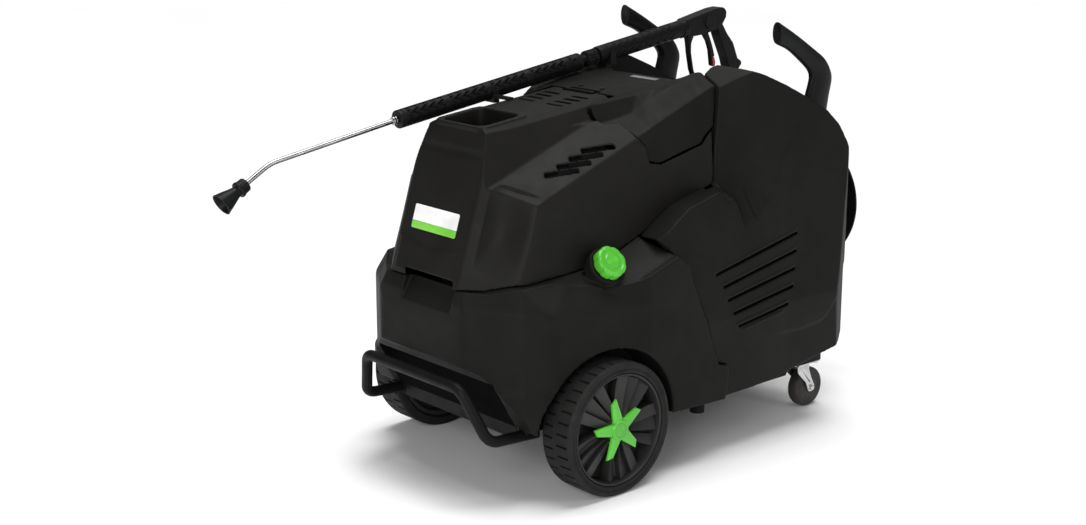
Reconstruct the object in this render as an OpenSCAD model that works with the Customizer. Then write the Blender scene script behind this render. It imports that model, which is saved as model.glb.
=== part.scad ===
// Mobile hot-water pressure washer on two fixed wheels and two swivel casters.
// The nose points along -Y, +X is the side with the fuel cap, the ground is z = 0.
// Lengths are millimetres. Inside this file y = 0 lies behind the front axle, and
// place() moves the whole machine so that the middle of its length is at y = 0.

/* [Wheels] */
// Diameter of the two front wheels
wheel_d = 300; // [280:1:306]
// Width of a front tyre
wheel_w = 90; // [80:1:96]
// Width over the outer faces of both front tyres
track_w = 700; // [696:1:716]
// Diameter of the front axle
axle_d = 20; // [16:0.5:22]
// Diameter of a rear caster wheel
caster_d = 100; // [92:1:104]
// Width of a caster wheel
caster_w = 32; // [26:1:34]
// Sideways distance from the middle to a caster's swivel axis
caster_x = 213; // [190:1:225]
// Distance by which a caster wheel trails its swivel axis
caster_trail = 34; // [28:1:38]

/* [Body] */
// Wall of the moulded covers
wall = 4; // [3:0.1:5]
// Half width of the base and the rear housing at their widest
base_half = 335; // [330:1:340]
// Half width of the hood along its side edge
hood_half = 222; // [219:1:225]
// Half width of the flat nose panel
nose_half = 115; // [105:1:120]
// Lean of the nose panel from the vertical, in degrees
nose_lean = 17.2; // [15:0.1:19]
// Height of the hood top above its nose panel's lower edge
hood_rise = 323; // [318:1:328]
// Slope of the hood's side edge, in degrees
edge_slope = 20.6; // [20:0.1:21.2]
// Radius of the wheel arches
arch_r = 175; // [162:1:180]
// Side of the square exhaust opening in the hood
flue_open = 140; // [130:1:146]
// Gap at the seams between two covers
seam = 1.5; // [1:0.1:2]

/* [Lance] */
// Diameter of the insulated grip on the lance and gun
grip_d = 42; // [36:1:44]
// Bore side tube diameter of the bare lance
lance_d = 12; // [10:0.5:14]
// Sideways place of the stored lance, from the middle
lance_x = 150; // [148:0.5:152]
// Upward slope of the stored lance towards the gun, in degrees
lance_slope = 8.5; // [8.2:0.1:8.8]

/* [Hose reel] */
// Diameter of the reel's flanges
reel_d = 330; // [300:2:340]
// Diameter of the reel's drum
drum_d = 130; // [110:2:150]
// Width of the drum between its flanges
drum_w = 140; // [120:2:150]

/* [Fuel cap] */
// Diameter of the fuel cap over its lobes
cap_d = 74; // [68:1:78]
// Travel of the cap while it is unscrewed
cap_lift = 8; // [6:0.5:10]

/* [Hidden] */

$fn = 48;
far = 400;                 // reach of cutting blocks past the model
fit = 0.05;                // radial clearance of running fits
gap = 0.3;                 // clearance between pieces that only lie side by side

// places along the machine
axle_y = -250;
axle_z = wheel_d / 2;
arch_x = track_w / 2 - wheel_w - 26;   // inner skin of the wheel arches
nose_y = -513;             // lower edge of the nose panel
nose_z = 465;
flue_y = -347;
caster_y = 482;
back_y = 570;              // outer face of the back wall
hinge_y = -55;
tray_z = 163;              // underside of the chassis tray
tray_t = 3;
floor_z = tray_z + tray_t;

// straight lines that several covers share, as [y, z]
top_slope = 0.112;
function top_z(y) = nose_z + hood_rise + top_slope * (y + 412);
edge_y = -312;
edge_z = 665;
function edge_at(y) = edge_z + tan(edge_slope) * (y - edge_y);
panel_y = 140;             // where the console turns down to the operator
panel_drop = 22;           // slope of the control panel, in degrees
function panel_z(y) = top_z(panel_y) - 4 - tan(panel_drop) * (y - panel_y);
hinge_z = top_z(hinge_y) - 3;

// stored lance: a straight line through this point
lance_y0 = -32;
lance_z0 = 851;
function lance_z(y) = lance_z0 + tan(lance_slope) * (y - lance_y0);

reel_y0 = back_y + 32;     // near face of the inner flange
flange_t = 5;
reel_z = 466;
crank_reach = 38;
reel_back = reel_y0 + 2 * flange_t + drum_w + crank_reach;
lance_front = -926;        // foremost point of the nozzle
mid_y = (lance_front + reel_back) / 2;

black = [0.075, 0.077, 0.072];
dark = [0.05, 0.05, 0.052];
green = [0.28, 0.68, 0.13];
zinc = [0.72, 0.73, 0.74];
brass = [0.76, 0.6, 0.28];

// ---------- helpers ----------

module place() translate([0, -mid_y, 0]) children();

module both_sides() for (side = [0, 1]) mirror([side, 0, 0]) children();

function unit(v) = v / norm(v);
function turned(v) = [-v.y, v.x];

// polygon p, counter-clockwise, with each edge moved inward by d
function inset(p, d) = let (n = len(p)) [
  for (i = [0:n - 1])
    let (
      a = turned(unit(p[i] - p[(i + n - 1) % n])),
      b = turned(unit(p[(i + 1) % n] - p[i]))
    ) p[i] + d * (a + b) / (1 + a * b)
];

// arc that replaces corner b between a and c
function fillet(a, b, c, r, n) = let (
  u = unit(a - b), v = unit(c - b), half = acos(u * v) / 2,
  mid = b + unit(u + v) * r / sin(half),
  s = b + u * r / tan(half) - mid, e = b + v * r / tan(half) - mid,
  a0 = atan2(s.y, s.x), turn = atan2(s.x * e.y - s.y * e.x, s * e)
) [for (i = [0:n]) mid + r * [cos(a0 + turn * i / n), sin(a0 + turn * i / n)]];

// outline from [x, y, radius] corners, a radius of 0 keeps the corner sharp
function rounded(p, n = 4) = let (m = len(p), q = [for (v = p) [v.x, v.y]]) [
  for (i = [0:m - 1])
    each p[i].z > 0 ? fillet(q[(i + m - 1) % m], q[i], q[(i + 1) % m], p[i].z, n) : [q[i]]
];

// a right half that starts and ends on the middle line, with its mirror image
function whole(half) = concat(half,
  [for (i = [len(half) - 1:-1:0]) if (half[i].x > 0) [-half[i].x, half[i].y, half[i].z]]);

// [y, z] outline extruded across the machine
module across(p, w = 2 * far) translate([-w / 2, 0, 0]) rotate([90, 0, 90]) linear_extrude(w) polygon(p);

// [x, z] outline extruded from y0 to y1
module along(p, y0, y1) translate([0, y1, 0]) rotate([90, 0, 0]) linear_extrude(y1 - y0) polygon(p);

module block(lo, hi) translate(lo) cube(hi - lo);

module rod_x(r, x0, x1, y, z) translate([x0, y, z]) rotate([0, 90, 0]) cylinder(r = r, h = x1 - x0);
module rod_y(r, y0, y1, x, z) translate([x, y1, z]) rotate([90, 0, 0]) cylinder(r = r, h = y1 - y0);
module rod_z(r, z0, z1, x, y) translate([x, y, z0]) cylinder(r = r, h = z1 - z0);

// solid through closed rings of 3-D points, each seen counter-clockwise along the way
module loft(rings) {
  n = len(rings);
  m = len(rings[0]);
  skin = [
    for (i = [0:n - 2], k = [0:m - 1])
      let (a = i * m + k, b = i * m + (k + 1) % m)
      each [[a, b, b + m], [a, b + m, a + m]]
  ];
  ends = [
    [for (k = [m - 1:-1:0]) k],
    [for (k = [0:m - 1]) (n - 1) * m + k]
  ];
  polyhedron([for (r = rings) each r], concat(skin, ends), convexity = 6);
}

// tube of half widths ra and rb swept along 3-D points; up keeps its section level
module sweep(path, ra, rb, up, sides = 12) {
  n = len(path);
  loft([
    for (i = [0:n - 1])
      let (
        t = unit(path[min(i + 1, n - 1)] - path[max(i - 1, 0)]),
        s = unit(cross(t, up)), u = cross(s, t)
      )
      [for (k = [0:sides - 1])
        path[i] + ra * cos(360 * k / sides) * s + rb * sin(360 * k / sides) * u]
  ]);
}

// rounded path: 3-D corners with one bend radius
function bend(a, b, c, r, n) = let (
  u = unit(a - b), v = unit(c - b), half = acos(u * v) / 2,
  mid = b + unit(u + v) * r / sin(half), s = b + u * r / tan(half) - mid,
  e = b + v * r / tan(half) - mid, turn = acos(s * e / (r * r))
) [for (i = [0:n]) mid + (s * sin(turn * (n - i) / n) + e * sin(turn * i / n)) / sin(turn)];
function route(p, r, n = 5) = concat([p[0]],
  [for (i = [1:len(p) - 2]) each bend(p[i - 1], p[i], p[i + 1], r, n)], [p[len(p) - 1]]);

module hex_bar(across_flats, h) cylinder(r = across_flats / sqrt(3), h = h, $fn = 6);

// ---------- outer forms of the covers ----------

// plan of the hood square to its leaning nose panel, y measured from the panel
hood_plan = rounded(whole([
  [0, 0, 0], [nose_half, 0, 22], [hood_half + 8, (hood_half + 8 - nose_half) * 0.74, 45],
  [hood_half + 30, 760, 0], [0, 760, 0]
]));
// section of the hood square to its side edge; z = 0 is the edge
hood_section = rounded(whole([
  [0, -600, 0], [hood_half + 38, -600, 0], [hood_half + 14, -168, 0], [hood_half, 0, 10],
  [nose_half + 12, 52, 14], [nose_half - 16, 140, 0], [nose_half - 19, 420, 0], [0, 420, 0]
]), 3);
// side view of the hood: nose, bevel below the exhaust opening and top
hood_side = [
  [nose_y - 62, 272], [-424, 753], [-411, top_z(-411)],
  [panel_y, top_z(panel_y)], [panel_y, 272]
];

// section of the hood square to its top: soft upper edges
hood_crown = whole([
  [0, -700, 0], [500, -700, 0], [500, -40, 0], [122, -36, 0], [103, -8, 0], [86, 0, 0], [0, 0, 0]
]);

// that side view moved inward by t, but run out through the rear
function hood_profile(t) = [
  for (p = inset([for (i = [4:-1:0]) hood_side[i]], t))
    p.x > 100 ? p + 3 * t * [1, p.y > 500 ? top_slope : 0] : p
];
module hood_form(t) intersection() {
  across(hood_profile(t));
  translate([0, nose_y, nose_z]) rotate([-nose_lean, 0, 0])
    translate([0, 0, -far]) linear_extrude(3 * far) polygon(inset(hood_plan, t));
  translate([0, edge_y, edge_z]) rotate([edge_slope + 90, 0, 0])
    translate([0, 0, -2 * far]) linear_extrude(3 * far) polygon(inset(hood_section, t));
  translate([0, -412, top_z(-412)]) rotate([90 + atan(top_slope), 0, 0])
    translate([0, 0, -2 * far]) linear_extrude(3 * far)
      polygon(inset([for (p = hood_crown) [p.x, p.y]], t));
}

// lower edge of the hood, from the nose to the rear, as [y, z]
hood_seam = [[-560, 461], [-478, 461], [-436, 475], [-325, 483], [-240, 489], [-180, 504],
  [-94, 536], [137, 623]];
// edge of the wing: seen from above, and seen from the side down to the rear
wing_plan = [[109, 170], [109, -47], [108, -132], [131, -126], [150, -119], [164, -91], [193, -84],
  [222, -84], [far, -84], [far, 170]];
wing_seam = [[-84, 752], [-62, 730], [-52, 694], [-18, 687], [109, 717], [124, 733], [150, 752]];
wing_rear = [[157.8, 800], [161.3, 846], [165, 880], [165, 960]];

hood_zone = concat(hood_seam, [[146, 690], [151, 740], [151, 960], [-560, 960]]);
wing_zone = concat([[-200, 960], [-200, 752]], wing_seam, wing_rear);
module wing_cut(d) intersection() {
  translate([0, 0, 500]) linear_extrude(500) offset(delta = d) polygon(wing_plan);
  rotate([90, 0, 90]) linear_extrude(far) offset(delta = d) polygon(wing_zone);
}

// base: side view, section and plan
base_side = [
  [-500, 285], [-420, 150], [-81, 145], [94, 139], [100, 154], [105, 206], [101, 221], [71, 228],
  [53, 265], [28, 340], [7, 390], [-20, 446], [-33, 478], [-59, 498], [-94, 535],
  [-180, 502], [-240, 487], [-325, 481], [-436, 473], [-478, 459], [-510, 459],
  [-521, 430], [-525, 385], [-523, 300]
];
base_plan = rounded(whole([
  [0, -525, 0], [145, -524, 40], [262, -452, 60], [302, -400, 60], [base_half, -150, 0],
  [base_half, 120, 0], [0, 120, 0]
]));
// the front corners of the base lean in towards the hood above z = 418
base_foot = whole([[0, -527, 0], [146, -526, 0], [263, -454, 0], [303, -402, 0], [base_half + 1, -150, 0], [base_half + 1, 130, 0], [0, 130, 0]]);
base_brow = whole([[0, -511, 0], [118, -511, 0], [236, -434, 0], [262, -330, 0], [base_half + 1, -150, 0], [base_half + 1, 130, 0], [0, 130, 0]]);
function level(p, t, z) = [for (q = inset([for (v = p) [v.x, v.y]], t)) [q.x, q.y, z]];
shoulder = [[hood_half + 18, 481], [320, 446], [far, 446], [far, 760], [hood_half + 18, 760]];

module base_form(t) difference() {
  intersection() {
    across(inset(base_side, t));
    translate([0, 0, 60]) linear_extrude(600) polygon(inset(base_plan, t));
    loft([level(base_brow, t, 620), level(base_brow, t, 474 - t), level(base_foot, t, 418 - t), level(base_foot, t, 60)]);
  }
  both_sides() {
    along([for (p = shoulder) p - [0, t]], -640, -240);
    translate([0, -240, 481 - t]) rotate([18.6, 0, 0])
      along([for (p = shoulder) p - [0, 481]], -20, 260);
  }
}

// rear housing: side view, section and plan
housing_side = [
  [94 + seam, 139], [270, 143], [340, 155], [420, 168], [482, 178], [528, 184], [554, 205],
  [back_y - 3, 255], [back_y, 420], [back_y - 4, 620], [552, 674], [524, 720], [480, 760],
  [414, 797], [342, 832], [276, 860], [232, 875], [205, 881], [166, 874],
  [163, 846], [155, 742], [141 + seam, 624],
  [93, 617], [-2, 594], [-48, 567], [-94 + seam, 537],
  [-59 + seam, 500], [-33 + seam, 480], [-20 + seam, 447], [7 + seam, 391],
  [28 + seam, 341], [53 + seam, 266], [71 + seam, 229], [101 + seam, 222],
  [105 + seam, 206], [100 + seam, 154]
];
housing_section = rounded(whole([
  [0, 120, 0], [base_half - 17, 120, 0], [base_half - 3, 330, 60], [base_half - 34, 600, 60],
  [279, 780, 0], [262, 900, 0], [0, 900, 0]
]), 3);
housing_plan = rounded(whole([
  [0, -180, 0], [252, -150, 0], [318, -56, 40], [base_half, 60, 60], [base_half, 480, 90],
  [base_half - 53, back_y + 2, 45], [0, back_y + 2, 0]
]), 3);

// the side above the ledge stands further in. Each row: y, z and x of the ledge's inner edge and its
// outward fall, then y and x of the wall half way up and at the top
ledge_rows = [[100, 617, 224, 8, 100, 224, 100, 224], [144, 622, 226, 60, 152, 225, 158, 224],
  [150, 625, 234, 90, 166, 236, 205, 243], [200, 646, 250, 250, 205, 250, 225, 253],
  [235, 661, 261, 300, 240, 262, 250, 264], [300, 684, 279, 300, 300, 279, 300, 280],
  [350, 699, 290, 240, 350, 290, 350, 290], [400, 714, 304, 160, 400, 304, 400, 304],
  [440, 728, 319, 70, 440, 319, 440, 319], [470, 744, 336, 60, 470, 336, 470, 336]];
module housing_form(t) difference() {
  intersection() {
    across(inset(housing_side, t));
    along(inset(housing_section, t), -300, 700);
    linear_extrude(1000) polygon(inset(housing_plan, t));
  }
  both_sides() {
    loft([for (v = ledge_rows)
      [[v[2] - t, v[0], v[1] - t], [far, v[0], v[1] - v[3] - t], [far, v[4], 745], [far, v[6], 860],
        [far, v[6], 1000], [v[7] - t, v[6], 1000], [v[7] - t, v[6], 860], [v[5] - t, v[4], 745]]]);
    // sloping front corner of the top
    loft([for (y = [100, 260])
      [for (q = [[150, -t], [far, -t], [far, 300], [150, 300]]) [q[0], y, corner_z(q[0], y) + q[1]]]]);
  }
}
// plane that continues the hood's side edge across the housing's front corner
function corner_z(x, y) = edge_at(164) - 0.52 * (x - 216) + 0.63 * (y - 164);

// ---------- covers ----------

module hood() color(black) {
  difference() {
    intersection() {
      hood_form(0);
      across(hood_zone);
    }
    hood_form(wall);
    // room for the console's deck and for the wings
    block([-110, hinge_y - 2, 700], [110, far, 1000]);
    both_sides() wing_cut(seam);
    // exhaust opening
    translate([0, flue_y, 600]) linear_extrude(300) flue_square(0);
    hood_vents();
    // hinge pocket
    block([-52, hinge_y - 14, 700], [52, hinge_y + 20, 1000]);
    // finger slot in the lower edge of the nose
    block([-64, nose_y - 60, 440], [103, nose_y + 30, 477]);
  }
  // liner that leads down round the flue pipe
  intersection() {
    translate([0, flue_y, 735]) linear_extrude(200) difference() {
      flue_square(wall);
      flue_square(0);
    }
    hood_form(0);
  }
  // raised rim
  intersection() {
    translate([0, flue_y, 700]) linear_extrude(200) difference() {
      flue_square(15);
      flue_square(0);
    }
    across([[-500, top_z(-500) - wall], [-200, top_z(-200) - wall], [-200, top_z(-200) + 5],
      [-500, top_z(-500) + 5]]);
  }
}

// outline of the exhaust opening, grown by d
module flue_square(d) {
  x = flue_open / 2 + d;
  y = flue_open * 0.4 + d * 0.75;
  polygon(rounded([[-x, -y, 20], [x, -y, 20], [x, y, 20], [-x, y, 20]]));
}

vent_w = 8;
module hood_vents() {
  both_sides() for (i = [0:3]) {
    // top vents
    block([20, -182 + 25.5 * i, 700], [76, -182 + 25.5 * i + vent_w, 960]);
    // vents in the sloping edge, running outward and rearward
    translate([168, -312 + 35 * i, 560]) rotate([0, 0, -24.5]) block([0, 0, 0], [vent_w + 4, 75, 400]);
  }
}

module base_tank() color(black) difference() {
  cavity_r = arch_r + wall;
  union() {
    difference() {
      base_form(0);
      difference() {
        union() {
          base_form(wall);
          // open top under the hood, open bottom, open rear
          translate([0, nose_y + 4, 440]) linear_extrude(300) polygon(inset(hood_plan, 16));
          block([-base_half + 30, -425, 60], [base_half - 30, 130, 170]);
          block([-base_half + wall, 0, 150], [base_half - wall, 130, 500]);
        }
        both_sides() rod_x(cavity_r, arch_x, far, axle_y, axle_z);
        nose_recess(wall);
        finger_scoop(wall);
      }
    }
    // pad and neck of the fuel filler
    difference() {
      cap_axis() translate([0, 0, -30]) cylinder(r = 43, h = 30);
      hood_form(-8);
    }
    cap_axis() cylinder(r = 24, h = 10);
  }
  cap_axis() translate([0, 0, -60]) cylinder(r = 19, h = 90);
  both_sides() rod_x(arch_r, arch_x + wall, far, axle_y, axle_z);
  both_sides() block([arch_x + wall, axle_y - arch_r, 0], [far, axle_y + arch_r, axle_z]);
  both_sides() rod_x(axle_d / 2 + gap, hood_half, far, axle_y, axle_z);
  nose_recess(0);
  finger_scoop(0);
}

// recess behind the bumper, and the finger scoop under the hood's nose, both grown by d
module nose_recess(d) block([-205 - d, -640, 60], [205 + d, -446 + d, 268 + d]);
module finger_scoop(d) translate([20, nose_y - 24, 450]) rotate([-32, 0, 0])
  block([-86 - d, -d, -26 - d], [86 + d, 34 + d, 30 + d]);

// frame of the fuel cap: z = 0 is the seat on the sloping shoulder
cap_at = [hood_half + 53, -226, 499];
module cap_axis() translate(cap_at) rotate([0, 52, 0]) children();

module rear_housing() color(black) {
  difference() {
    housing_form(0);
    difference() {
      union() {
        housing_form(wall);
        block([-base_half + 24, 80, 60], [base_half - 24, back_y - 40, 170]);
        intersection() {
          block([-285, -140, 165], [285, 160, 600]);
          across([[-140, 100], [160, 100], [160, 600], [66, 600], [-2, 587], [-48, 560], [-88, 533], [-140, 500]]);
        }
      }
      // inner cheeks beside the console
      both_sides() block([cheek_x, 130, 560], [cheek_x + wall, back_y, 960]);
    }
    // open top between the cheeks, for the console
    block([-cheek_x, 100, 690], [cheek_x, 535, 960]);
    block([-hood_half - 16, -200, 440], [hood_half + 16, 139, 960]);
    // louvres
    both_sides() for (v = louvres) translate([base_half - 12, v[0], v[1]]) rotate([v[2], 0, 0])
      block([-30, 0, -3], [30, v[3], 3]);
    // holes of the water inlet, outlet and cable
    rod_y(inlet_r + gap, 500, 600, inlet_x, port_z);
    rod_y(outlet_r + gap, 500, 600, 0, port_z);
    rod_y(gland_r + gap, 500, 600, -inlet_x, port_z);
  }
}
// each louvre: y and z of its front end, rise in degrees and length
louvres = [[69, 434, 10.9, 286], [91, 402, 10.1, 257], [102, 370, 8.8, 236], [118, 337, 7.9, 210], [137, 304, 7.8, 170]];
cheek_x = 176;
inlet_x = 190;
port_z = 250;
inlet_r = 13.2;
outlet_r = 11;
gland_r = 10;

// console: middle deck, control panel and the two wings beside the hood
module console() color(black) {
  front = hinge_y + 3;
  deck = [[front, top_z(front) - wall], [112, top_z(112) - wall], [panel_y, panel_z(panel_y) - wall],
    [532, panel_z(532) - wall], [532, panel_z(532)], [panel_y, panel_z(panel_y)],
    [112, top_z(112)], [front, top_z(front)]];
  difference() {
    union() {
      across(deck, 2 * deck_half);
      intersection() {
        across(deck, 2 * cheek_x - 2 * gap);
        block([-far, panel_y - 12, 0], [far, far + 200, 1000]);
      }
      wing(wing_rows);
      mirror([1, 0, 0]) wing(lance_wing_rows);
    }
    // hinge pocket, knob shafts and gauge
    block([-52, hinge_y - 17, 780], [52, hinge_y + 16, 900]);
    screw_spots() rod_z(2.5 + gap, -20, 10, 0, 0);
    panel_frame() {
      for (k = [-1, 0, 1]) translate([70 * k, 0, -20]) cylinder(r = 5 + fit, h = 40);
      translate([0, -62, -20]) cylinder(r = 26 + gap, h = 40);
    }
  }
  // pillars down to the electrical box
  for (x = [-1, 1], y = [300, 380])
    intersection() {
      rod_z(7, box_top + gap, 900, 105 * x, y);
      across([[250, 600], [420, 600], [420, panel_z(420) - 1], [250, panel_z(250) - 1]]);
    }
}
deck_half = 112;           // half width of the deck between the wings
panel_mid = 345;
box_top = 718;
module panel_frame() translate([0, panel_mid, panel_z(panel_mid)]) rotate([-panel_drop, 0, 0]) children();

// one wing, section by section: y, height beside the deck, x and z of its inner crest and of its knee
wing_rows = [[-140, 818, 113, 815, 131, 773], [-119, 820, 116, 815, 136, 777], [-95, 823, 120, 818, 141, 781],
  [-68, 826.5, 124, 822, 147, 786], [-40, 829.6, 128, 826, 153, 792], [-7, 833, 134, 830, 158, 811],
  [40, 838.6, 140, 838, 160, 833], [71, 842, 143, 844, 162, 844.5], [100, 845, 145, 851, 165, 853],
  [130, 846, 147, 858, 167, 860.5], [152, 846, 149, 863, 168, 866], [171, 846, 150, 867, 169, 870]];
// the left wing is lower under the stored lance and ends in an outer ridge
lance_wing_rows = [[-140, 818, 128, 795, 146, 768], [-119, 820, 128, 802, 150, 779],
  [-91, 823, 135, 806, 166, 783], [-61, 826, 145, 820, 180, 809], [-20, 831, 155, 828, 190, 829],
  [11, 834.5, 160, 834, 198, 838], [63, 840.5, 165, 842, 200, 857], [110, 845, 165, 850, 200, 868],
  [152, 846, 165, 856, 200, 879]];
wing_x = hood_half - 6;
function wing_row(v, t) = let (
  e = edge_at(v[0]),
  p = inset([[90 - 3 * t, 560 - 2 * t], [wing_x + (e - 560) * 0.095, 560 - 2 * t], [wing_x, e],
    [v[4], v[5]], [v[2], v[3]], [109, v[1]], [90 - 3 * t, v[1] - 1]], t)
) [for (q = p) [q.x, v[0], q.y]];
module wing(rows) intersection() {
  difference() {
    loft([for (v = rows) wing_row(v, 0)]);
    difference() {
      loft([for (v = rows) wing_row(v + [0.1 * sign(v[0]), 0, 0, 0, 0, 0], wall)]);
      // closed rear end
      block([0, 146, 500], [far, 200, 1000]);
    }
  }
  wing_cut(0);
}

// upper and lower outline of a horn from its free end to its foot, as [y, z, y, z]
horn_rows = [[323, 976.6, 323, 925.6], [384, 944, 368, 906], [448, 906, 422, 868], [488, 880, 440, 851],
  [510, 853, 445, 839], [518, 828, 443, 826], [510, 790, 436, 805], [500, 735, 424, 770]];
module horn(side) color(black) difference() {
  loft([
    for (v = horn_rows)
      [for (k = [0:15])
        let (a = 22.5 * k, f = (1 + sin(a)) / 2)
        [side * 253 + 15 * sign(cos(a)) * pow(abs(cos(a)), 0.7),
          v[2] + (v[0] - v[2]) * f, v[3] + (v[1] - v[3]) * f]]
  ]);
  // foot follows the housing's top
  translate([0, 0, gap]) across([[380, 500], [540, 500], [540, 704], [524, 720], [480, 760], [414, 798], [380, 815]]);
}
module horn_left() horn(-1);
module horn_right() horn(1);

// ---------- chassis ----------

tray_half = arch_x - gap;
rear_half = base_half - 24;
module chassis() color(dark) {
  difference() {
    union() {
      // tray, wider behind the front wheels
      block([-tray_half, -418, tray_z], [tray_half, 505, floor_z]);
      block([-rear_half + 8, -68, tray_z], [rear_half - 8, 440, floor_z]);
      // apron under its front edge
      block([-200, -418, 128], [200, -415, tray_z + 1]);
      // hangers of the axle
      both_sides() {
        block([tray_half - 8, axle_y - 40, 118], [tray_half, axle_y + 40, tray_z + 1]);
        block([tray_half - 60, axle_y - 40, 118], [tray_half - 52, axle_y + 40, tray_z + 1]);
      }
      // skid rails
      both_sides() translate([250, 0, 0])
        across([[125, tray_z + 1], [165, 114], [385, 116], [420, tray_z + 1]], 24);
      // rear cross member above the casters
      block([-262, caster_y - 55, plate_z + 4], [262, caster_y + 33, tray_z + 1]);
      // tongues that hold the bumper
      both_sides() block([bumper_low - 16, -418, 128], [bumper_low - bumper_r - gap, -380, tray_z + 1]);
    }
    both_sides() rod_x(axle_d / 2 + gap, 0, far, axle_y, axle_z);
    both_sides() for (x = [-35, 35], y = [-28, 28])
      rod_z(4.5, 0, tray_z - 6, caster_x + x, caster_y + y);
  }
}

axle_half = track_w / 2 - 12;
module front_axle() color(zinc) {
  rod_x(axle_d / 2, -axle_half, axle_half, axle_y, axle_z);
}

bumper_r = 12.5;
bumper_low = arch_x - bumper_r - 0.5;
module bumper() color(dark) sweep(route([
  [-bumper_low, -380, 141], [-bumper_low, -513, 148], [-168, -546, 262],
  [168, -546, 262], [bumper_low, -513, 148], [bumper_low, -380, 141]
], 34, 4), bumper_r, bumper_r, unit([0, 0.35, 1]), 12);

module feet() color(dark) both_sides() {
  rod_z(17, 107, tray_z - gap / 10, rear_half - 25, 52);
}

plate_z = caster_d + 26;   // underside of a caster's top plate
module caster_plates() color(zinc) both_sides() translate([caster_x, caster_y, 0]) {
  difference() {
    union() {
      block([-50, -42, plate_z], [49, 35, plate_z + 4 - gap]);
      rod_z(22, plate_z - 7, plate_z + 1, 0, 0);
    }
    for (x = [-35, 35], y = [-28, 28]) rod_z(4.5, 0, 200, x, y);
  }
  rod_z(6, plate_z - 20, plate_z, 0, 0);
}

// caster bolts, and the screws that hold the covers
module screws() color(zinc) {
  both_sides() {
    for (x = [-35, 35], y = [-28, 28]) translate([caster_x + x, caster_y + y, plate_z - 6])  {
      translate([0, 0, 0.5]) hex_bar(13, 5.5);
      cylinder(r = 4, h = 24);
    }
  }
  screw_spots() {
    rod_z(2.5, -wall - 3, 1, 0, 0);
    rod_z(5, gap / 10, 2.5, 0, 0);
  }
}
// seats of the two screws that hold the hinge leaf, square to the deck
module screw_spots() for (x = [-36, 36]) translate([x, hinge_y + 34, top_z(hinge_y + 34)])
  rotate([atan(top_slope), 0, 0]) children();

// fork of one caster, turning about the upright axis
module fork(side) color(zinc) translate([side * caster_x, caster_y, 0]) {
  difference() {
    union() {
      rod_z(24, plate_z - 14, plate_z - 8, 0, 0);
      for (s = [-1, 1]) hull() {
        translate([s * (caster_w / 2 + 4.5) - 1.5, -20, plate_z - 12]) cube([3, 44, 4]);
        translate([s * (caster_w / 2 + 4.5) - 1.5, caster_trail, caster_d / 2]) rotate([0, 90, 0])
          cylinder(r = 11, h = 3, $fn = 24);
      }
      block([-caster_w / 2 - 6, -20, plate_z - 12], [caster_w / 2 + 6, 24, plate_z - 8]);
    }
    rod_z(6 + fit, 0, 200, 0, 0);
  }
  rod_x(4, -caster_w / 2 - 12, caster_w / 2 + 12, caster_trail, caster_d / 2);
}
module fork_left() fork(-1);
module fork_right() fork(1);

module caster_wheel(side) color([0.22, 0.22, 0.22])
  translate([side * caster_x, caster_y + caster_trail, caster_d / 2]) rotate([0, 90, 0])
    rotate_extrude() polygon(concat(
      [[4 + fit, -caster_w / 2 - 2], [14, -caster_w / 2 - 2], [18, -caster_w / 2 + 3]],
      rounded([[caster_d / 2 - 14, -caster_w / 2 + 3, 0], [caster_d / 2 - 8, -caster_w / 2, 4],
        [caster_d / 2, -caster_w / 2 + 4, 8], [caster_d / 2, caster_w / 2 - 4, 8],
        [caster_d / 2 - 8, caster_w / 2, 4], [caster_d / 2 - 14, caster_w / 2 - 3, 0]]),
      [[18, caster_w / 2 - 3], [14, caster_w / 2 + 2], [4 + fit, caster_w / 2 + 2]]));
module caster_wheel_left() caster_wheel(-1);
module caster_wheel_right() caster_wheel(1);

// ---------- front wheels ----------

rim_r = wheel_d / 2 - 24;
// frame of one wheel: z = 0 is its outer face and z points outward
module wheel_frame(side) translate([side * track_w / 2, axle_y, axle_z])
  mirror([side < 0 ? 1 : 0, 0, 0]) rotate([0, 90, 0]) children();

module tyre(side) color(dark) wheel_frame(side) rotate_extrude($fn = 96) polygon(rounded([
  [rim_r, -wheel_w + 6, 0], [rim_r + 4, -wheel_w, 3], [wheel_d / 2 - 12, -wheel_w, 8],
  [wheel_d / 2, -wheel_w + 10, 8], [wheel_d / 2, -10, 8], [wheel_d / 2 - 12, 0, 8],
  [rim_r + 4, 0, 3], [rim_r, -6, 0]
]));
module tyre_left() tyre(-1);
module tyre_right() tyre(1);

module rim(side) color(black) wheel_frame(side) difference() {
  union() {
    rotate_extrude($fn = 96) polygon([
      [axle_d / 2 + fit, -wheel_w + 4], [30, -wheel_w + 4], [30, -26], [rim_r - 9, -22],
      [rim_r - 9, -wheel_w + 8], [rim_r - gap, -wheel_w + 8], [rim_r - gap, -7],
      [rim_r - 8, -7], [rim_r - 12, -14], [34, -16], [30, -10], [axle_d / 2 + fit, -10]
    ]);
  }
  // five wide windows, and five narrow ones inside the twin spokes
  for (i = [0:4]) rotate([0, 0, 72 * i + 14]) translate([0, 0, -40]) linear_extrude(60) {
    polygon(rounded([[44, -8, 3], [rim_r - 16, -27, 8], [rim_r - 16, 27, 8], [44, 8, 3]]));
    rotate(36) polygon(rounded([[62, -3, 2], [rim_r - 16, -11, 4], [rim_r - 16, 11, 4], [62, 3, 2]]));
  }
}
module rim_left() rim(-1);
module rim_right() rim(1);

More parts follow.
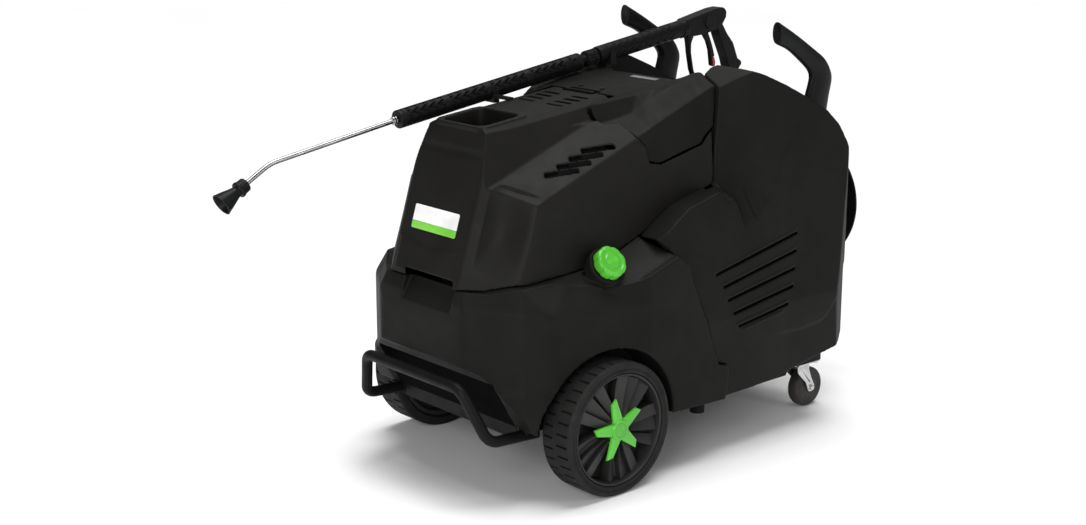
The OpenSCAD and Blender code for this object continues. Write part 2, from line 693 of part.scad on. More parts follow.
star_r = 66;
module star(side) color(green) wheel_frame(side) translate([0, 0, -10 + gap]) difference() {
  union() {
    for (i = [0:4]) rotate([0, 0, 72 * i + 50]) linear_extrude(8)
      polygon([[0, -16], [24, -14], [star_r, -9], [star_r - 6, 8], [22, 12], [0, 16]]);
    cylinder(r = 24, h = 11);
  }
  translate([0, 0, -1]) cylinder(r = axle_d / 2 + 1, h = 9);
}
module star_left() star(-1);
module star_right() star(1);

// ---------- hood pieces ----------

module hood_hinge() color(dark) {
  difference() {
    union() {
      across([[hinge_y - 34, top_z(hinge_y - 34) - wall - 3 - gap], [hinge_y - 12, top_z(hinge_y - 12) - wall - 3 - gap],
        [hinge_y - 2, hinge_z - 4], [hinge_y - 1, hinge_z], [hinge_y - 12, top_z(hinge_y - 12) - wall - gap],
        [hinge_y - 34, top_z(hinge_y - 34) - wall - gap]], 96);
      for (x = [-48, 0]) rod_x(5.5, x + 0.5, x + 23, hinge_y, hinge_z);
    }
    rod_x(3 + fit, -60, 60, hinge_y, hinge_z);
    for (x = [-24, 24]) block([x - 0.5, hinge_y - 8, 700], [x + 24.5, hinge_y + 8, 900]);
  }
}

module hinge_leaf() color(dark) {
  difference() {
    union() {
      across([[hinge_y + 12, top_z(hinge_y + 12) - wall - 3 - gap], [hinge_y + 60, top_z(hinge_y + 60) - wall - 3 - gap],
        [hinge_y + 60, top_z(hinge_y + 60) - wall - gap], [hinge_y + 12, top_z(hinge_y + 12) - wall - gap],
        [hinge_y + 1, hinge_z], [hinge_y + 2, hinge_z - 4]], 96);
      for (x = [-24, 24]) rod_x(5.5, x + 0.5, x + 23, hinge_y, hinge_z);
    }
    for (x = [-48, 0]) block([x - 0.5, hinge_y - 8, 700], [x + 24, hinge_y + 8, 900]);
    screw_spots() rod_z(2.5 + gap, -20, 10, 0, 0);
  }
  rod_x(3, -48, 48, hinge_y, hinge_z);
}

plate_w = 153;
plate_h = 53;
module name_plate() color("white") translate([0, nose_y, nose_z]) rotate([-nose_lean, 0, 0])
  block([-plate_w / 2, -2 - gap / 10, 101], [plate_w / 2, -gap / 10, 101 + plate_h]);

// open-topped clip that holds the lance; its foot spans x0 to x1 and stands on heights za and zb
module lance_clip(y, x0, x1, za, zb) color(black) {
  z = lance_z(y);
  r = grip_d / 2 + 1;
  translate([-lance_x, 0, 0]) difference() {
    union() {
      block([-r - 3, y - 8, z - r - 4], [r + 4, y + 8, z + 4]);
      translate([(x0 + x1) / 2, 0, 0])
        across([[y - 8, za + gap], [y + 8, zb + gap], [y + 8, max(za, zb) + 5], [y - 8, max(za, zb) + 5]], x1 - x0);
    }
    translate([0, y, z]) rotate([90 + lance_slope, 0, 0]) cylinder(r = r, h = 60, center = true);
    block([1 - r, y - 20, z], [r - 1, y + 20, z + 80]);
  }
}
module front_clip() difference() {
  lance_clip(-200, 20, 76, top_z(-208), top_z(-192));
  hood_form(-gap);
}
module rear_clip() {
  lance_clip(165, -16, 16, panel_z(157), panel_z(173));
  color(black) translate([-lance_x, 0, 0])
    across([[157, panel_z(157) + gap], [173, panel_z(173) + gap], [173, lance_z(165) - 23], [157, lance_z(165) - 23]], 18);
}

// ---------- lance and gun ----------

// frame along the stored lance: local y runs along it towards the gun
module lance_frame() translate([-lance_x, lance_y0, lance_z0]) rotate([lance_slope, 0, 0]) children();

module lance_grip() color(black) lance_frame() {
  difference() {
    rod_y(grip_d / 2, -436, 108, 0, 0);
    rod_y(lance_d / 2 + fit, -460, 120, 0, 0);
  }
}

module coupling_nut() color(black) lance_frame() difference() {
  union() {
    rod_y(12, 112, 128, 0, 0);
    rod_y(20, 128, 162, 0, 0);
  }
  rod_y(lance_d / 2 + fit, 100, 170, 0, 0);
}

module lance_tube() color(zinc) {
  p = function(y, z) [-lance_x, y, z];
  front = lance_z(-470);
  in_nozzle = function(s) p(nozzle_y - s * cos(nozzle_tilt), nozzle_z - s * sin(nozzle_tilt));
  sweep(route([in_nozzle(3), in_nozzle(-31), p(-785, front - 49), p(-470, front)], 26, 5),
    5.5, 5.5, [1, 0, 0], 12);
  lance_frame() rod_y(lance_d / 2, -450, 160, 0, 0);
}

nozzle_tilt = 48;
nozzle_r = 25;
nozzle_len = 50;
nozzle_y = lance_front + nozzle_len * cos(nozzle_tilt) + nozzle_r * sin(nozzle_tilt);
nozzle_z = 686.5;
module nozzle() color(dark) translate([-lance_x, nozzle_y, nozzle_z]) rotate([90 + nozzle_tilt, 0, 0]) rotate_extrude()
  polygon([[5.6, -8], [14, -8], [15, 6], [12, 9], [12, 16], [17, 18], [17, 22], [nozzle_r, nozzle_len],
    [nozzle_r - 3, nozzle_len], [12, 24], [4, 22], [4, 4], [5.6, 4]]);

// [y, z] outline in the lance's frame, extruded across by w
module plate(p, w) translate([-w / 2, 0, 0]) rotate([90, 0, 90]) linear_extrude(w) polygon(rounded(p));

trigger_at = [538, -14];
latch_at = [558, -92];
module gun_body() color(black) lance_frame() difference() {
  union() {
    rod_y(grip_d / 2, 166, 470, 0, 0);
    rod_y(grip_d / 2 + 2, 450, 466, 0, -1);
    // body with its round boss
    plate([[462, -23, 4], [522, -28, 6], [566, -26, 8], [588, -18, 8], [604, -1, 8],
      [607, 13, 10], [597, 25, 10], [567, 27, 14], [518, 24, 10], [462, 21, 6]], 36);
    rod_x(17, -22, 22, 543, -2);
    // grip with a bulb at its end
    plate([[572, -6, 0], [577, -44, 20], [598, -108, 20], [603, -135, 6], [636, -147, 8],
      [655, -132, 8], [637, -118, 8], [625, -74, 20], [606, -46, 20], [588, -10, 0]], 30);
    // open trigger guard
    plate([[470, -20, 0], [472, -40, 20], [472, -66, 30], [475, -108, 20], [480, -128, 0],
      [486, -128, 0], [482, -108, 20], [479, -66, 30], [483, -42, 20], [492, -30, 0], [494, -20, 0]], 14);
  }
  rod_y(lance_d / 2 + gap, 150, 400, 0, 0);
  // slot and pin hole of the trigger
  block([-6.3, 522, -60], [6.3, 562, -2]);
  rod_x(3, -30, 30, trigger_at[0], trigger_at[1]);
}

module trigger() color(dark) lance_frame() {
  difference() {
    plate([[531, -14, 4], [534, -36, 6], [543, -52, 10], [549, -76, 10], [550, -120, 3],
      [559, -118, 2], [562, -92, 4], [557, -66, 10], [552, -48, 10], [546, -30, 6], [545, -9, 4], [535, -7, 4]], 12);
    // seat of the latch
    block([-7, 554.5, -130], [7, 570, -95.5]);
    block([-4.3, 553.5, -98], [4.3, 570, -84]);
  }
  rod_x(3 - fit, -17, 17, trigger_at[0], trigger_at[1]);
  rod_x(1.5, -5.5, 5.5, latch_at[0], latch_at[1]);
}
module trigger_latch() color("red") lance_frame() difference() {
  union() {
    plate([[555, -97.5, 0], [561, -97.5, 0], [564, -112, 3], [561, -121, 2], [555, -121, 0]], 12);
    plate([[555, -89, 1], [561, -89, 2], [561, -100, 0], [555, -100, 0]], 8);
  }
  rod_x(1.5 + fit, -8, 8, latch_at[0], latch_at[1]);
}

// ---------- fuel cap ----------

module cap_plug() color(dark) cap_axis() {
  rod_z(19 - fit, -cap_lift - 4, 10, 0, 0);
  rod_z(6, 9, 18, 0, 0);
}
module fuel_cap() color(green) cap_axis() difference() {
  union() {
    translate([0, 0, 1]) cylinder(r = cap_d / 2 - 5, h = 24);
    for (i = [0:7]) rotate([0, 0, 45 * i]) translate([cap_d / 2 - 10, 0, 1]) cylinder(r = 10, h = 22, $fn = 32);
  }
  cylinder(r = 24 + gap, h = 10 + gap);
  cylinder(r = 6 + fit, h = 18 + gap);
}

// ---------- heater ----------

boiler_r = 135;
boiler_y = -290;
boiler_top = 640;
module boiler_shell() color([0.55, 0.56, 0.57]) difference() {
  rod_z(boiler_r, floor_z, boiler_top, 0, boiler_y);
  rod_z(boiler_r - 3, floor_z + 3, boiler_top + 1, 0, boiler_y);
  // holes of the two pressure pipes
  rod_y(pipe_r + gap, boiler_y, 0, motor_x + 90, 190);
  rod_y(pipe_r + gap, boiler_y, 0, 60, 600);
}
module boiler_coil() color(zinc) translate([0, boiler_y, 0]) {
  for (i = [0:7]) translate([0, 0, floor_z + 60 + 48 * i]) rotate_extrude()
    translate([boiler_r - 26, 0]) circle(r = 11, $fn = 20);
  for (a = [30, 150, 270]) rotate([0, 0, a]) block([boiler_r - 37, -4, floor_z + 3], [boiler_r - 25, 4, floor_z + 430]);
}
module boiler_lid() color([0.5, 0.51, 0.52]) difference() {
  union() {
    rod_z(boiler_r, boiler_top + gap, boiler_top + 50, 0, boiler_y);
    block([-38, boiler_y + 100, boiler_top + 8], [38, boiler_y + boiler_r + 12, boiler_top + 46]);
  }
  rod_z(boiler_r - 3, boiler_top, boiler_top + 47, 0, boiler_y);
  rod_z(flue_r, boiler_top, boiler_top + 60, 0, flue_y);
  block([-34, boiler_y + 90, boiler_top + 12], [34, boiler_y + boiler_r + 20, boiler_top + 42]);
}
module flue_pipe() color([0.3, 0.31, 0.32]) difference() {
  rod_z(flue_r - gap, boiler_top + 44, 746, 0, flue_y);
  rod_z(flue_r - 3, boiler_top + 40, 780, 0, flue_y);
}
flue_r = 50;

blower_y = -66;
blower_z = boiler_top + 2;
module burner_blower() color([0.35, 0.36, 0.37]) difference() {
  union() {
    rod_x(70, -34, 34, blower_y, blower_z - 18);
    block([-34, boiler_y + boiler_r + 12 + gap, boiler_top + 8], [34, blower_y, boiler_top + 46]);
  }
  rod_x(66, -30, 30, blower_y, blower_z - 18);
  block([-30, boiler_y + boiler_r, boiler_top + 12], [30, blower_y, boiler_top + 42]);
}
module burner_motor() color(dark) {
  rod_x(42, 34 + gap, 140, blower_y, blower_z - 18);
}
module fuel_pump() color(brass) {
  rod_x(26, -74, -34 - gap, blower_y, blower_z - 18);
  block([-70, blower_y - 14, blower_z - 18], [-44, blower_y + 14, blower_z + 26]);
}

// ---------- pump set ----------

motor_x = -120;
motor_z = 262;
module electric_motor() color([0.3, 0.32, 0.35]) {
  rod_y(84, 62, 320, motor_x, motor_z);
  rod_y(76, 320, 372, motor_x, motor_z);
  block([motor_x - 60, 90, floor_z], [motor_x + 60, 290, motor_z - 60]);
  block([motor_x - 45, 120, motor_z + 70], [motor_x + 45, 240, motor_z + 118]);
}
module pump_body() color([0.6, 0.61, 0.62]) {
  block([motor_x - 62, -46, motor_z - 56], [motor_x + 62, 62 - gap, motor_z + 56]);
  block([motor_x - 50, -30, floor_z], [motor_x + 50, 40, motor_z - 50]);
}
module pump_head() color(brass) {
  block([motor_x - 58, -112, motor_z - 36], [motor_x + 58, -46 - gap, motor_z + 36]);
  for (x = [-38, 0, 38], s = [-1, 1]) translate([motor_x + x, -80, motor_z + s * 36]) mirror([0, 0, s < 0 ? 1 : 0])
    hex_bar(26, 10);
}
module unloader_valve() color(brass) {
  rod_z(13, motor_z + 46 + gap, motor_z + 120, motor_x, -80);
  rod_x(9, motor_x + 10, motor_x + 52, -80, motor_z + 80);
}
pipe_r = 7;
module pressure_pipes() color(zinc) {
  // from the unloader to the boiler, and from the boiler to the outlet
  sweep(route([[motor_x + 53, -80, motor_z + 80], [motor_x + 90, -80, motor_z + 80], [motor_x + 90, -80, 190],
    [motor_x + 90, boiler_y + boiler_r - 10, 190]], 18, 4), pipe_r, pipe_r, unit([0.1, 0.3, 1]), 10);
  sweep(route([[60, boiler_y + boiler_r - 22, 600], [60, -145, 600], [60, -20, 520],
    [0, 90, 420], [0, 470, port_z], [0, 530 - gap, port_z]], 30, 4),
    pipe_r, pipe_r, unit([1, 0, 0.2]), 10);
}

module float_tank() color([0.85, 0.86, 0.84]) difference() {
  block([70, 220, floor_z], [270, 400, 400]);
  block([74, 224, floor_z + 4], [266, 396, 420]);
}

module electrical_box() color([0.2, 0.2, 0.21]) {
  block([-130, 262, 590], [130, 420, box_top - 40]);
  block([-130, 262, box_top - 41], [130, 400, box_top]);
}

module pressure_gauge() color([0.9, 0.9, 0.9]) panel_frame() translate([0, -62, 0]) {
  translate([0, 0, -18]) cylinder(r = 26, h = 20);
  translate([0, 0, gap]) cylinder(r = 30, h = 8);
}

module water_inlet() color(brass) {
  rod_y(inlet_r, back_y - 30, 596, inlet_x, port_z);
  translate([inlet_x, back_y + 8, port_z]) rotate([90, 0, 0]) hex_bar(34, 7);
}
module outlet_nipple() color(brass) {
  rod_y(outlet_r, 530, 598, 0, port_z);
  translate([0, back_y + 8, port_z]) rotate([90, 0, 0]) hex_bar(30, 7);
}
module cable_gland() color(dark) {
  rod_y(gland_r, 540, 592, -inlet_x, port_z);
  translate([-inlet_x, back_y + 8, port_z]) rotate([90, 0, 0]) hex_bar(28, 7);
  rod_y(15, 536, 540, -inlet_x, port_z);
}

// ---------- hose reel ----------

reel_end = reel_y0 + 2 * flange_t + drum_w;
module reel_bracket() color(dark) {
  block([-60, back_y + gap, reel_z - 60], [60, back_y + 6, reel_z + 60]);
  rod_y(12, back_y + 4, reel_end - 10, 0, reel_z);
}
module reel_drum() color(black) difference() {
  union() {
    for (y = [reel_y0, reel_end - flange_t]) rod_y(reel_d / 2, y, y + flange_t, 0, reel_z, $fn = 96);
    rod_y(drum_d / 2, reel_y0, reel_end, 0, reel_z);
  }
  rod_y(12 + fit, reel_y0 - 1, reel_end - 6, 0, reel_z);
  difference() {
    rod_y(drum_d / 2 - 5, reel_y0 + 6, reel_end - 6, 0, reel_z);
    rod_y(20, reel_y0, reel_end, 0, reel_z);
  }
}
module reel_crank() color(dark) {
  block([-12, reel_end, reel_z - 12], [12, reel_end + 5, reel_z + 110]);
  rod_y(11, reel_end + 5, reel_back, 0, reel_z + 98);
}

// ---------- controls ----------

module knob(i, r) panel_frame() translate([70 * i, 0, 0]) {
  translate([0, 0, -14]) cylinder(r = 5, h = 16);
  translate([0, 0, 1]) cylinder(r = r, h = 14);
  translate([-3, -r - 2, 3]) cube([6, r, 13]);
}
module main_switch() color("red") knob(-1, 19);
module thermostat_knob() color(dark) knob(0, 16);
module detergent_knob() color(dark) knob(1, 16);

place() chassis();
place() front_axle();
place() bumper();
place() feet();
place() caster_plates();
place() screws();
place() base_tank();
place() rear_housing();
place() console();
place() hinge_leaf();
place() rear_clip();
place() horn_left();
place() horn_right();
place() boiler_shell();
place() boiler_coil();
place() boiler_lid();
place() flue_pipe();
place() burner_blower();
place() burner_motor();
place() fuel_pump();
place() electric_motor();
place() pump_body();
place() pump_head();
place() unloader_valve();
place() pressure_pipes();
place() float_tank();
place() electrical_box();
place() pressure_gauge();
place() water_inlet();
place() outlet_nipple();
place() cable_gland();
place() reel_bracket();
place() hood();
place() hood_hinge();
place() name_plate();
place() front_clip();
place() tyre_left();
place() tyre_right();
place() rim_left();
place() rim_right();
place() star_left();
place() star_right();
place() fork_left();
place() fork_right();
place() caster_wheel_left();
place() caster_wheel_right();
place() reel_drum();
place() reel_crank();
place() main_switch();
place() thermostat_knob();
place() detergent_knob();
place() cap_plug();
place() fuel_cap();
place() nozzle();
place() lance_tube();
place() lance_grip();
place() coupling_nut();
place() gun_body();
place() trigger();
place() trigger_latch();
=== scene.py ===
"""Looks of the mobile hot-water pressure washer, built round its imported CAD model.

Places are written in millimetres in the part's own working frame, where y = 0 lies behind the
front axle, and go through at() into the row frame in metres.
"""

import math

import bmesh
import bpy
import numpy as np
from mathutils import Matrix, Vector
from mathutils.bvhtree import BVHTree


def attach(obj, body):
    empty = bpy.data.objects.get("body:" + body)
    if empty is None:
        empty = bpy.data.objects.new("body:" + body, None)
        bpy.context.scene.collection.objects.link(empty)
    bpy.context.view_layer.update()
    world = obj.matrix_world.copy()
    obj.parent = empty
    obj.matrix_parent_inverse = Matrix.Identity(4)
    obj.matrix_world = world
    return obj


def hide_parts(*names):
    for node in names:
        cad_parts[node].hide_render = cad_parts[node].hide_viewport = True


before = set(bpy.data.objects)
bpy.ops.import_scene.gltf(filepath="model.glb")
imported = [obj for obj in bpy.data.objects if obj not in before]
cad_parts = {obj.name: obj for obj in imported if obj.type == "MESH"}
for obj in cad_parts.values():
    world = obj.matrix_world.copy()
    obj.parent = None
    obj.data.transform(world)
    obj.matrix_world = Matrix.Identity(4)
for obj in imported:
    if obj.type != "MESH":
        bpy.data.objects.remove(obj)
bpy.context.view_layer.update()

MM = 0.001
SHIFT_Y = 0.068                     # metres from the part's working frame to the row frame


def at(x, y, z):
    return Vector((x * MM, y * MM + SHIFT_Y, z * MM))


# ---------------------------------------------------------------- materials


class Look:
    """A node material whose textures live in the object's own space."""

    def __init__(self, name, color, rough, metal=0.0, specular=0.5):
        self.material = bpy.data.materials.new(name)
        self.material.use_nodes = True
        self.tree = self.material.node_tree
        self.shader = self.tree.nodes["Principled BSDF"]
        self.shader.inputs["Base Color"].default_value = (*color, 1)
        self.shader.inputs["Roughness"].default_value = rough
        self.shader.inputs["Metallic"].default_value = metal
        self.shader.inputs["Specular IOR Level"].default_value = specular
        self.place = self.node("ShaderNodeTexCoord").outputs["Object"]
        self.bumps = None

    def node(self, kind, **values):
        n = self.tree.nodes.new(kind)
        for key, value in values.items():
            setattr(n, key, value)
        return n

    def link(self, a, b):
        self.tree.links.new(a, b)

    def stretched(self, scale):
        n = self.node("ShaderNodeMapping")
        n.inputs["Scale"].default_value = scale
        self.link(self.place, n.inputs["Vector"])
        return n.outputs["Vector"]

    def noise(self, scale, detail=3.0, place=None, distortion=0.0):
        n = self.node("ShaderNodeTexNoise")
        n.inputs["Scale"].default_value = scale
        n.inputs["Detail"].default_value = detail
        n.inputs["Distortion"].default_value = distortion
        self.link(place or self.place, n.inputs["Vector"])
        return n.outputs["Fac"]

    def cells(self, scale, feature="F1"):
        n = self.node("ShaderNodeTexVoronoi", feature=feature)
        n.inputs["Scale"].default_value = scale
        self.link(self.place, n.inputs["Vector"])
        return n.outputs["Distance"]

    def between(self, fac, low, high, to_low=0.0, to_high=1.0):
        n = self.node("ShaderNodeMapRange")
        for key, value in zip(("From Min", "From Max", "To Min", "To Max"), (low, high, to_low, to_high)):
            n.inputs[key].default_value = value
        self.link(fac, n.inputs["Value"])
        return n.outputs["Result"]

    def math(self, operation, a, b):
        n = self.node("ShaderNodeMath", operation=operation)
        for socket, value in zip(n.inputs, (a, b)):
            if isinstance(value, (int, float)):
                socket.default_value = value
            else:
                self.link(value, socket)
        return n.outputs["Value"]

    def blend(self, fac, a, b):
        n = self.node("ShaderNodeMix", data_type="RGBA")
        for name, value in (("Factor", fac), ("A", a), ("B", b)):
            socket = [s for s in n.inputs if s.name == name and s.enabled][0]
            if isinstance(value, tuple):
                socket.default_value = (*value, 1)
            else:
                self.link(value, socket)
        return [s for s in n.outputs if s.enabled][0]

    def bump(self, height, strength, distance):
        n = self.node("ShaderNodeBump")
        n.inputs["Strength"].default_value = strength
        n.inputs["Distance"].default_value = distance
        self.link(height, n.inputs["Height"])
        if self.bumps:
            self.link(self.bumps, n.inputs["Normal"])
        self.bumps = n.outputs["Normal"]

    def done(self, color=None, rough=None):
        if color:
            self.link(color, self.shader.inputs["Base Color"])
        if rough:
            self.link(rough, self.shader.inputs["Roughness"])
        if self.bumps:
            self.link(self.bumps, self.shader.inputs["Normal"])
        return self.material

    def edges(self, low=0.52, high=0.62):
        n = self.node("ShaderNodeNewGeometry")
        return self.between(n.outputs["Pointiness"], low, high)


def shade(color, k):
    return tuple(min(1.0, c * k) for c in color)


def plastic(name, color, rough=0.52, grain=900, specular=0.1, scuff=0.35, wear_and_sheen=0.5):
    """Moulded plastic: fine grain, soft flow marks, faint scuffs, and paler edges that are partly wear and partly a
    painted highlight.
    """
    look = Look(name, color, rough, specular=specular)
    flow = look.noise(7, 4, distortion=0.6)
    tone = look.blend(look.between(flow, 0.3, 0.7), shade(color, 0.82), shade(color, 1.22))
    scratch = look.noise(60, 6, look.stretched((1.0, 0.22, 3.2)), 0.4)
    marks = look.math("MULTIPLY", look.between(scratch, 0.66, 0.8), scuff)
    tone = look.blend(marks, tone, shade(color, 2.6))
    # paler convex edges: partly edge wear, partly a painted highlight along the edges
    rim = look.math("MULTIPLY", look.edges(), wear_and_sheen)
    tone = look.blend(rim, tone, shade(color, 2.3))
    gloss = look.between(look.noise(28, 5), 0.3, 0.75, rough - 0.03, rough + 0.05)
    gloss = look.math("ADD", gloss, look.math("MULTIPLY", marks, 0.2))
    look.bump(look.noise(grain, 2), 0.16, 0.0004)
    look.bump(look.noise(14, 2), 0.03, 0.004)
    return look.done(tone, gloss)


def rubber(name, color, rough=0.72, specular=0.3):
    """Rubber: matt, with fine pores and a dusty bloom."""
    look = Look(name, color, rough, specular=specular)
    dust = look.between(look.noise(18, 6, distortion=0.5), 0.42, 0.75, 0, 0.5)
    tone = look.blend(dust, shade(color, 0.8), shade(color, 1.9))
    look.bump(look.cells(700), 0.2, 0.0004)
    look.bump(look.noise(90, 4), 0.15, 0.0008)
    return look.done(tone, look.between(look.noise(40, 4), 0.3, 0.7, rough - 0.1, rough + 0.1))


def metal(name, color, rough=0.3, stretch=(1, 1, 1), mottled=0.3, dull=None):
    """Bare or plated metal: drawn or brushed marks, stains and small dents."""
    look = Look(name, color, rough, metal=1.0)
    place = look.stretched(stretch)
    lines = look.noise(160, 3, place)
    stain = look.between(look.noise(22, 6, distortion=1.0), 0.4, 0.72, 0, mottled)
    tone = look.blend(lines, shade(color, 0.86), shade(color, 1.08))
    tone = look.blend(stain, tone, dull or shade(color, 0.55))
    gloss = look.math("ADD", look.between(lines, 0.3, 0.7, rough - 0.06, rough + 0.1),
                      look.math("MULTIPLY", stain, 0.4))
    look.bump(lines, 0.08, 0.0002)
    look.bump(look.noise(420, 2), 0.06, 0.0002)
    return look.done(tone, gloss)


def paint(name, color, rough=0.4, specular=0.4, hammer=0.0, chips=(0.25, 0.25, 0.26)):
    """Powder coat or machine paint: orange peel, with bare chips on the edges."""
    look = Look(name, color, rough, specular=specular)
    tone = look.blend(look.between(look.noise(12, 4), 0.3, 0.7), shade(color, 0.85), shade(color, 1.2))
    chipped = look.math("MULTIPLY", look.edges(0.56, 0.66), look.between(look.noise(140, 5), 0.52, 0.62))
    tone = look.blend(chipped, tone, chips)
    look.bump(look.noise(260, 2), 0.2, 0.0005)
    if hammer:
        look.bump(look.cells(220, "SMOOTH_F1"), hammer, 0.0012)
    return look.done(tone, look.between(look.noise(35, 4), 0.3, 0.7, rough - 0.06, rough + 0.12))


HOOD_GREY = (0.0086, 0.0082, 0.0072)
COVER_GREY = (0.0078, 0.0078, 0.0071)
DECK_GREY = (0.0076, 0.0077, 0.0070)
BLACK = (0.0075, 0.0078, 0.0085)
LIME = (0.075, 0.42, 0.028)

hood_plastic = plastic("hood_plastic", HOOD_GREY)
cover_plastic = plastic("cover_plastic", COVER_GREY, specular=0.08)
deck_plastic = plastic("deck_plastic", DECK_GREY, specular=0.07)
# near-black, unreflecting plastic laid where only shade falls: painted shade in the slots, the vents and the recess
# behind the bumper
painted_shade_black = plastic("painted_shade_black", (0.004, 0.004, 0.004), rough=0.9, specular=0.02, scuff=0.05,
                      wear_and_sheen=0.1)
black_plastic = plastic("black_plastic", BLACK, rough=0.38, grain=1300, scuff=0.2)
grip_plastic = plastic("grip_plastic", (0.0066, 0.0066, 0.0064), rough=0.46, grain=1600, scuff=0.2)
rim_plastic = plastic("rim_plastic", (0.018, 0.018, 0.0175), rough=0.4, grain=1200, specular=0.25, scuff=0.25)
lime_plastic = plastic("lime_plastic", LIME, rough=0.3, grain=1500, specular=0.5, scuff=0.1, wear_and_sheen=0.15)
red_plastic = plastic("red_plastic", (0.45, 0.012, 0.01), rough=0.32, grain=1500, specular=0.5, scuff=0.1, wear_and_sheen=0.15)
tank_plastic = plastic("tank_plastic", (0.62, 0.61, 0.54), rough=0.4, grain=800, specular=0.5, scuff=0.1, wear_and_sheen=0.1)
plate_white = plastic("plate_white", (0.78, 0.79, 0.78), rough=0.28, grain=1800, specular=0.5, scuff=0.05, wear_and_sheen=0.05)
plate_lime = plastic("plate_lime", (0.16, 0.52, 0.04), rough=0.28, grain=1800, specular=0.5, scuff=0.05, wear_and_sheen=0.05)
tyre_rubber = rubber("tyre_rubber", (0.0112, 0.0112, 0.0107), specular=0.22)
foot_rubber = rubber("foot_rubber", (0.006, 0.006, 0.006), specular=0.08)
caster_rubber = rubber("caster_rubber", (0.035, 0.031, 0.027), rough=0.6)
zinc = metal("zinc_plate", (0.62, 0.62, 0.63), 0.3, (1, 1, 1), 0.35)
steel_tube = metal("steel_tube", (0.6, 0.6, 0.61), 0.24, (1, 0.06, 1), 0.2)
# the lance's steel is darker than the other bare steel: a painted shade standing in for the darker surroundings that
# the real tube reflects
lance_steel = metal("lance_steel", (0.4, 0.4, 0.41), 0.2, (1, 0.06, 1), 0.3)
strip_silver = metal("strip_silver", (0.3, 0.3, 0.31), 0.5, (0.06, 1, 1), 0.2)
steel_sheet = metal("steel_sheet", (0.4, 0.39, 0.38), 0.38, (0.2, 1, 1), 0.6, (0.16, 0.1, 0.07))
brass = metal("brass", (0.62, 0.42, 0.15), 0.3, (1, 0.3, 1), 0.4, (0.22, 0.12, 0.05))
cast_metal = metal("cast_aluminium", (0.48, 0.49, 0.5), 0.5, (1, 1, 1), 0.4)
frame_paint = paint("frame_paint", (0.0055, 0.0055, 0.0058), 0.42, specular=0.1, chips=(0.012, 0.012, 0.012))
cast_paint = paint("cast_paint", (0.13, 0.135, 0.14), 0.45, hammer=0.5)
motor_paint = paint("motor_paint", (0.07, 0.085, 0.115), 0.42)


def gauge_face():
    """Pale dial behind clear, slightly hazy plastic."""
    look = Look("gauge_face", (0.7, 0.72, 0.7), 0.12, specular=0.6)
    haze = look.between(look.noise(60, 5), 0.4, 0.7, 0, 0.25)
    tone = look.blend(haze, (0.74, 0.75, 0.73), (0.55, 0.56, 0.54))
    look.bump(look.noise(500, 2), 0.05, 0.0002)
    return look.done(tone, look.between(look.noise(80, 3), 0.3, 0.7, 0.08, 0.2))


gauge_glass = gauge_face()


# ---------------------------------------------------------------- mesh helpers


def linked(name, data):
    ob = bpy.data.objects.new(name, data)
    bpy.context.scene.collection.objects.link(ob)
    return ob


def add_object(name, mesh, material, body, nodes=()):
    """A visible piece of one body; nodes are the CAD nodes that it stands for."""
    ob = linked(name, mesh)
    mesh.materials.clear()
    for m in material if isinstance(material, (list, tuple)) else [material]:
        mesh.materials.append(m)
    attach(ob, body)
    if nodes:
        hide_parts(*nodes)
    return ob


def smooth(mesh, angle):
    mesh.shade_smooth()
    mesh.set_sharp_from_angle(angle=math.radians(angle))
    return mesh


def mesh_from(name, verts, faces, angle=35):
    """Welded mesh with its normals outward; edges sharper than angle stay sharp."""
    mesh = bpy.data.meshes.new(name)
    mesh.from_pydata([tuple(v) for v in verts], [], faces)
    bm = bmesh.new()
    bm.from_mesh(mesh)
    bmesh.ops.remove_doubles(bm, verts=bm.verts, dist=1e-6)
    bmesh.ops.recalc_face_normals(bm, faces=bm.faces)
    bm.to_mesh(mesh)
    bm.free()
    return smooth(mesh, angle)


def turns(n):
    """n equal angles round a full turn."""
    return [2 * math.pi * k / n for k in range(n)]


